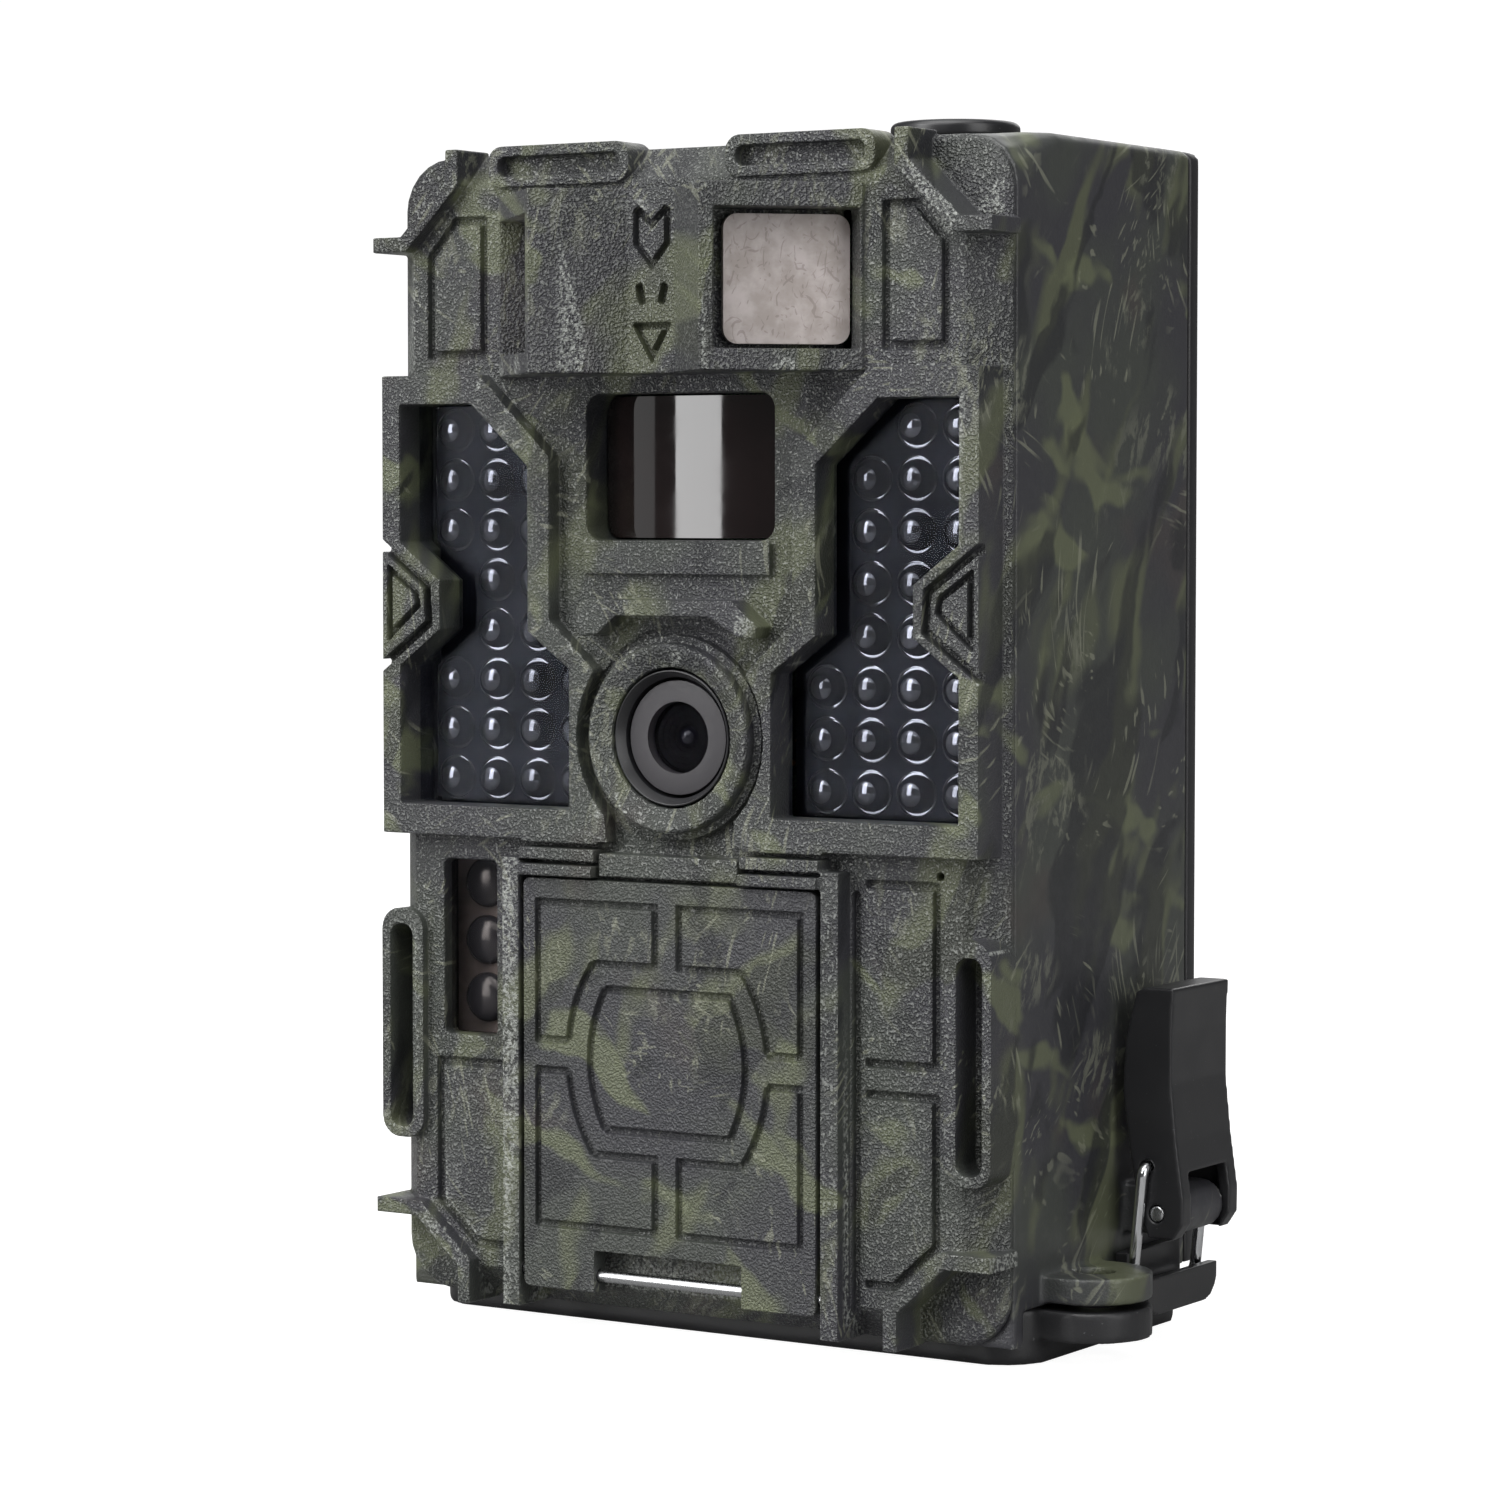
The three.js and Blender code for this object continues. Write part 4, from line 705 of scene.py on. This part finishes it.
def bail_wire():
    """The sprung wire loop between the lever and the hook."""
    low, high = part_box("latch_bail")
    wire = WIRE * MM
    top_x, foot_x = high.x - wire, low.x + wire
    top, foot = high.z - wire, low.z + wire
    front, rear = low.y + wire, high.y - wire
    inward = WIRE_HOOK * MM
    corners = [
        Vector((top_x, front + inward, top)), Vector((top_x, front, top)),
        Vector((foot_x, front, foot)), Vector((foot_x, rear, foot)),
        Vector((top_x, rear, top)), Vector((top_x, rear - inward, top)),
    ]
    points = [corners[0]]
    bend = WIRE_BEND * MM
    for before, corner, after in zip(corners, corners[1:], corners[2:]):
        start = corner + (before - corner).normalized() * bend
        end = corner + (after - corner).normalized() * bend
        points += [
            start * (1 - t) ** 2 + corner * 2 * t * (1 - t) + end * t ** 2
            for t in [i / 10 for i in range(11)]
        ]
    points.append(corners[-1])
    curve = bpy.data.curves.new("bail_curve", "CURVE")
    curve.dimensions = "3D"
    spline = curve.splines.new("POLY")
    spline.points.add(len(points) - 1)
    for spot, point in zip(spline.points, points):
        spot.co = (*point, 1)
    curve.bevel_depth = wire
    curve.bevel_resolution = 6
    curve.use_fill_caps = True
    path = bpy.data.objects.new("bail_path", curve)
    bpy.context.scene.collection.objects.link(path)
    graph = bpy.context.evaluated_depsgraph_get()
    mesh = bpy.data.meshes.new_from_object(path.evaluated_get(graph))
    bpy.data.objects.remove(path)
    place(smooth(link("bail_loop", mesh), 50), "chrome", "latch_bail")


def screw(node):
    """Pan-head screw with a cross recess."""
    low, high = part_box(node)
    centre = (low + high) / 2
    back = high.y - centre.y
    tip, top = (low.y - centre.y) / MM, back / MM
    shank, head, crown = 1.4, 2.9, 2.3           # radii
    under, rim = top - 0.95, top - 0.45
    profile = [(0, tip), (shank, tip), (shank, under), (head, under), (head, rim), (crown, top),
               (0, top)]
    piece = turned(f"{node}_head", eased(profile, 0.2), centre, "Y", 48)
    cutter = bmesh.new()
    length, slit = 3.0, 0.62                     # of the cross
    for across, tall in ((length, slit), (slit, length)):
        spot = Matrix.Translation(centre + Vector((0, back, 0)))
        size = Matrix.Diagonal((across * MM, 1.0 * MM, tall * MM, 1))
        bmesh.ops.create_cube(cutter, size=1.0, matrix=spot @ size)
    tool = from_bmesh("cross", cutter)
    carve = piece.modifiers.new("cross", "BOOLEAN")
    carve.operation = "DIFFERENCE"
    carve.object = tool
    carve.solver = "EXACT"
    carve.use_self = True
    settle(piece)
    bpy.data.objects.remove(tool)
    place(smooth(piece, 30), "steel", node)


def hardware():
    pin("door_rod", "door_hinge_pin", "X", 0.75)
    pin("cover_rod", "cover_hinge_pin", "Y", 1.0)
    pin("latch_rivet", "latch_pin", "Y", 1.0)
    bail_wire()
    for n in range(1, 5):
        screw(f"rear_screw_{n}")
    antenna_cap()
    tripod_bush()


def antenna_cap():
    low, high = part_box("antenna_cap")
    axis = Vector(((low.x + high.x) / 2, (low.y + high.y) / 2, high.z))
    tall = (high.z - low.z) / MM
    stem, brim, top = 4.9, 7.8, 7.3              # radii
    cap = [(0, -tall), (stem, -tall), (stem, -2.0), (brim, -2.0), (brim, -0.5), (top, 0), (0, 0)]
    place(turned("cap_body", eased(cap, 0.5), axis, "Z", 96), "satin", "antenna_cap")


def tripod_bush():
    """A brass bush with a ridged bore."""
    low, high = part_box("tripod_insert")
    axis = Vector(((low.x + high.x) / 2, (low.y + high.y) / 2, low.z))
    tall = (high.z - low.z) / MM
    pitch = tall / THREAD_TURNS
    crest, root, outside = 3.1, 3.35, 5.0        # radii
    thread = []
    for n in range(THREAD_TURNS):
        thread += [(crest, tall - n * pitch), (root, tall - (n + 0.5) * pitch)]
    wall = [(crest, 0), (outside, 0), (outside, tall), *thread]
    place(turned("tripod_bush", wall, axis, "Z", 64), "brass", "tripod_insert")


# ------------------------------------------------------------------ windows, lamps and lens


def shaved(node, name, depth):
    """A copy of a board without the lamps that stand in front of a depth, in millimetres."""
    board = copied(node, name)
    shape = bmesh.new()
    shape.from_mesh(board.data)
    bmesh.ops.remove_doubles(shape, verts=shape.verts, dist=1e-6)
    raised = [v for v in shape.verts if v.co.y < FRONT + depth * MM]
    bmesh.ops.delete(shape, geom=raised, context="VERTS")
    bmesh.ops.holes_fill(shape, edges=shape.edges)
    shape.to_mesh(board.data)
    shape.free()
    return board


def lamp_places(side):
    """Where one side's lamps stand; the numbers in LAMP_ROWS are columns."""
    for row, columns in enumerate(LAMP_ROWS):
        for n in columns:
            yield Vector((side * LAMP_COLUMNS[n] * MM, FRONT, (LAMP_TOP - row * LAMP_PITCH) * MM))


def lamp_backing(side):
    """A dark sheet behind the tray, which closes the view past the tray's edges."""
    spot = Vector((side * BACKING["x"], BACKING["depth"], BACKING["z"])) * MM
    spot += Vector((0, FRONT, 0))
    size = Vector((BACKING["width"], BACKING["thick"], BACKING["height"], 1 / MM)) * MM
    shape = bmesh.new()
    bmesh.ops.create_cube(shape, size=1.0, matrix=Matrix.Translation(spot) @ Matrix.Diagonal(size))
    return from_bmesh("backing", shape)


def lamps(side, word):
    """One side's lamps, each with the thin lip of its foot, in their dark tray."""
    node = f"ir_led_board_{word}"
    tray = shaved(node, f"lamp_tray_{word}", TRAY_FACE)
    merge(tray, lamp_backing(side))
    place(smooth(tray, 40), "tray", node)
    bulbs = bmesh.new()
    body = [(0, 5.1), (2.7, 5.1), (2.7, 4.624), (2.61, 4.6), (2.56, 4.85), (2.3, 4.85),
            (2.25, 4.4), *dome(2.2, 4.3, 3.0, 12)]
    for spot in lamp_places(side):
        add_turned(bulbs, body, spot, "Y", 48)
    place(smooth(from_bmesh(f"lamps_{word}", bulbs), 40), "lamp", body="housing")


def centre_window():
    """The bowed dark window over the middle sensor."""
    low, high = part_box("motion_window_center")
    half = (high.x - low.x) / 2
    back, front = high.y, low.y
    steps, corner, rim = 48, 2.0 * MM, 1.3 * MM
    shape = bmesh.new()
    columns = []
    for i in range(steps + 1):
        x = -half + 2 * half * i / steps
        near_edge = max(0.0, abs(x) - (half - corner))
        cut = corner - math.sqrt(max(corner ** 2 - near_edge ** 2, 0.0))
        y = front + (back - rim - front) * (x / half) ** 2
        columns.append([
            shape.verts.new((x, y, low.z + cut)), shape.verts.new((x, y, high.z - cut)),
            shape.verts.new((x, back, high.z - cut)), shape.verts.new((x, back, low.z + cut)),
        ])
    for a, b in zip(columns, columns[1:]):
        for n in range(4):
            m = (n + 1) % 4
            shape.faces.new((a[n], a[m], b[m], b[n]))
    shape.faces.new(columns[0])
    shape.faces.new(columns[-1][::-1])
    bmesh.ops.remove_doubles(shape, verts=shape.verts, dist=1e-7)
    place(smooth(from_bmesh("sensor_window_center", shape), 40), "window", "motion_window_center")


def lens():
    """Grey face ring in its black tube, the front element and the clear cover."""
    barrel = [(4.35, -0.3), (6.9, -0.3), (6.9, 6), (8.2, 6), (8.2, 11.5), (3.5, 11.5), (3.5, 4.6),
              (4.35, 4.6)]
    place(turned("lens_holder", eased([*barrel, barrel[0]], 0.12, 2), LENS_AXIS, "Y", 128, 30),
          "grey", "lens_barrel")
    tube = [(7.3, -0.6), (8.0, -1.8), (8.2, -1.7), (8.2, 5.7), (7.3, 5.7)]
    place(turned("lens_tube", eased([*tube, tube[0]], 0.15, 3), LENS_AXIS, "Y", 128, 30),
          "satin", "lens_shroud")
    glass = [*reversed(dome(1.25, 2.4, 1.15, 12)), (1.25, 3.4), (3.4, 3.6), (3.4, 4.5), (0, 4.5)]
    place(turned("lens_glass", glass, LENS_AXIS, "Y", 96), "glass", "lens_element")
    funnel = [(4.3, 1.15), (4.0, 1.15), (3.9, 1.3), (3.3, 1.3), (3.2, 1.5), (2.6, 1.5), (2.5, 1.7),
              (1.9, 1.7), (1.8, 1.95), (1.45, 1.95), (1.35, 2.1), (1.35, 3.2), (4.3, 3.2)]
    place(turned("lens_baffles", funnel, LENS_AXIS, "Y", 96, 30), "baffle", body="housing")
    cover = [(0, 0.4), (3.95, 0.4), (4.05, 0.5), (4.05, 0.9), (3.95, 1.0), (0, 1.0)]
    place(turned("lens_cover", cover, LENS_AXIS, "Y", 96), "cover", "lens_cover_glass")


def status_lights():
    """Three indicator lamps on their card behind the small left window."""
    card = shaved("status_board", "status_panel", CARD_FACE)
    outer_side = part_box("status_board")[0].x
    for corner in card.data.vertices:
        if corner.co.x < outer_side + 0.1 * MM:
            corner.co.x -= CARD_MARGIN * MM
    place(smooth(card, 40), "card", "status_board")
    lights = bmesh.new()
    body = [(0, 6.0), (3.1, 6.0), (3.1, 5.4), *dome(3.0, 5.3, 4.2, 12)]
    centre = middle("status_board") + STATUS_SHIFT * MM
    for n in (-1, 0, 1):
        spot = Vector((centre.x, FRONT, centre.z + n * STATUS_PITCH * MM))
        add_turned(lights, body, spot, "Y", 48)
    place(smooth(from_bmesh("status_lamps", lights), 40), "light", body="housing")


def windows():
    for side, word in ((1, "right"), (-1, "left")):
        keep(f"ir_window_{word}", "pane")
        lamps(side, word)
        keep(f"motion_lens_{word}", "frosted", 0.25)
        keep(f"motion_sensor_{word}", "steel", 0.2)
    keep("motion_sensor_center", "steel", 0.2)
    centre_window()
    lens()
    keep("status_window", "status", 0.1)
    status_lights()
    keep("microphone", "steel", 0.1)
    keep("ir_cut_filter", "cover", 0.1)


# ------------------------------------------------------------------ keys, display and inside


def key(node):
    low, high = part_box(node)
    centre = (low + high) / 2
    back, front = (high.y - centre.y) / MM, (low.y - centre.y) / MM
    radius = (high.x - low.x) / 2 / MM
    cap = [(0, back), (radius, back), (radius, front), (radius - 0.4, front),
           (radius - 0.9, front + 0.15), (0, front + 0.3)]
    place(turned(f"{node}_cap", eased(cap, 0.35), centre, "Y", 48), "key", node)


def inside():
    for name in ("up", "down", "left", "right", "ok", "menu"):
        key(f"button_{name}")
    keep("power_switch", "key", 0.3)
    keep("display_module", "screen", 0.4)
    for node in ("keypad_board", "main_board", "image_sensor_board"):
        keep(node, "board", 0.15)
    for node in ("usb_socket", "card_socket"):
        keep(node, "steel", 0.3)
    keep("battery_case", "black", 0.3)
    for n in range(1, 9):
        keep(f"battery_cell_{n}", "sleeve", 0.3)
    keep("cover_seal", "rubber", 0.2)


# ------------------------------------------------------------------ studio


def softbox(name, azimuth, elevation, distance, width, height, power, target):
    """An area light aimed at the object; azimuth 0 stands in front, 90 at the +X side."""
    lamp = bpy.data.lights.new(name, "AREA")
    lamp.shape = "RECTANGLE"
    lamp.size, lamp.size_y = width, height
    lamp.energy = power
    a, e = math.radians(azimuth), math.radians(elevation)
    away = Vector((math.sin(a) * math.cos(e), -math.cos(a) * math.cos(e), math.sin(e)))
    light = bpy.data.objects.new(name, lamp)
    light.location = target + away * distance
    light.rotation_euler = away.to_track_quat("Z", "Y").to_euler()
    light.visible_camera = False
    bpy.context.scene.collection.objects.link(light)


def studio():
    low, high = CAD_BOX
    target = (low + high) / 2
    for light in LIGHTS:
        softbox(*light, target)
    world = bpy.data.worlds.new("studio")
    bpy.context.scene.world = world
    world.use_nodes = True
    tree = world.node_tree
    back = tree.nodes["Background"]
    path = tree.nodes.new("ShaderNodeLightPath")
    level = tree.nodes.new("ShaderNodeMapRange")
    level.inputs["To Min"].default_value = 0.11
    level.inputs["To Max"].default_value = 1.0
    tree.links.new(path.outputs["Is Camera Ray"], level.inputs["Value"])
    tree.links.new(level.outputs[0], back.inputs["Strength"])
    back.inputs["Color"].default_value = (1, 1, 1, 1)
    floor()
    bpy.context.scene.view_settings.view_transform = "Standard"


def floor():
    """A pale sweep: flat under the object and curved up behind it."""
    shape = bmesh.new()
    half, front, bend, radius, top = 2.5, -1.0, 1.2, 0.8, 3.0
    drop = 0.2 * MM                              # keeps it clear of the object's foot
    line = [(front, 0.0), (bend, 0.0)]
    line += [
        (bend + radius * math.sin(t), radius * (1 - math.cos(t)))
        for t in [math.pi / 2 * i / 24 for i in range(1, 25)]
    ]
    line.append((bend + radius, top))
    rows = [[shape.verts.new((x, y, z - drop)) for x in (-half, half)] for y, z in line]
    for a, b in zip(rows, rows[1:]):
        shape.faces.new((a[0], a[1], b[1], b[0]))
    sweep = from_bmesh("studio_floor", shape)
    smooth(sweep)
    sweep.data.materials.append(LOOKS["floor"])


def camera():
    """The three-quarter view from the object's right, a little above its middle."""
    azimuth, dip = math.radians(VIEW_AZIMUTH), math.radians(VIEW_DIP)
    lens_data = bpy.data.cameras.new("camera")
    lens_data.sensor_width = 36
    lens_data.lens = VIEW_LENS
    lens_data.clip_start = 0.01
    seat = bpy.data.objects.new("camera", lens_data)
    seat.location = VIEW_SEAT
    back = Vector((
        math.sin(azimuth) * math.cos(dip), -math.cos(azimuth) * math.cos(dip), math.sin(dip)))
    seat.rotation_euler = back.to_track_quat("Z", "Y").to_euler()
    bpy.context.scene.collection.objects.link(seat)
    bpy.context.scene.camera = seat


casings()
hardware()
windows()
inside()
studio()
camera()
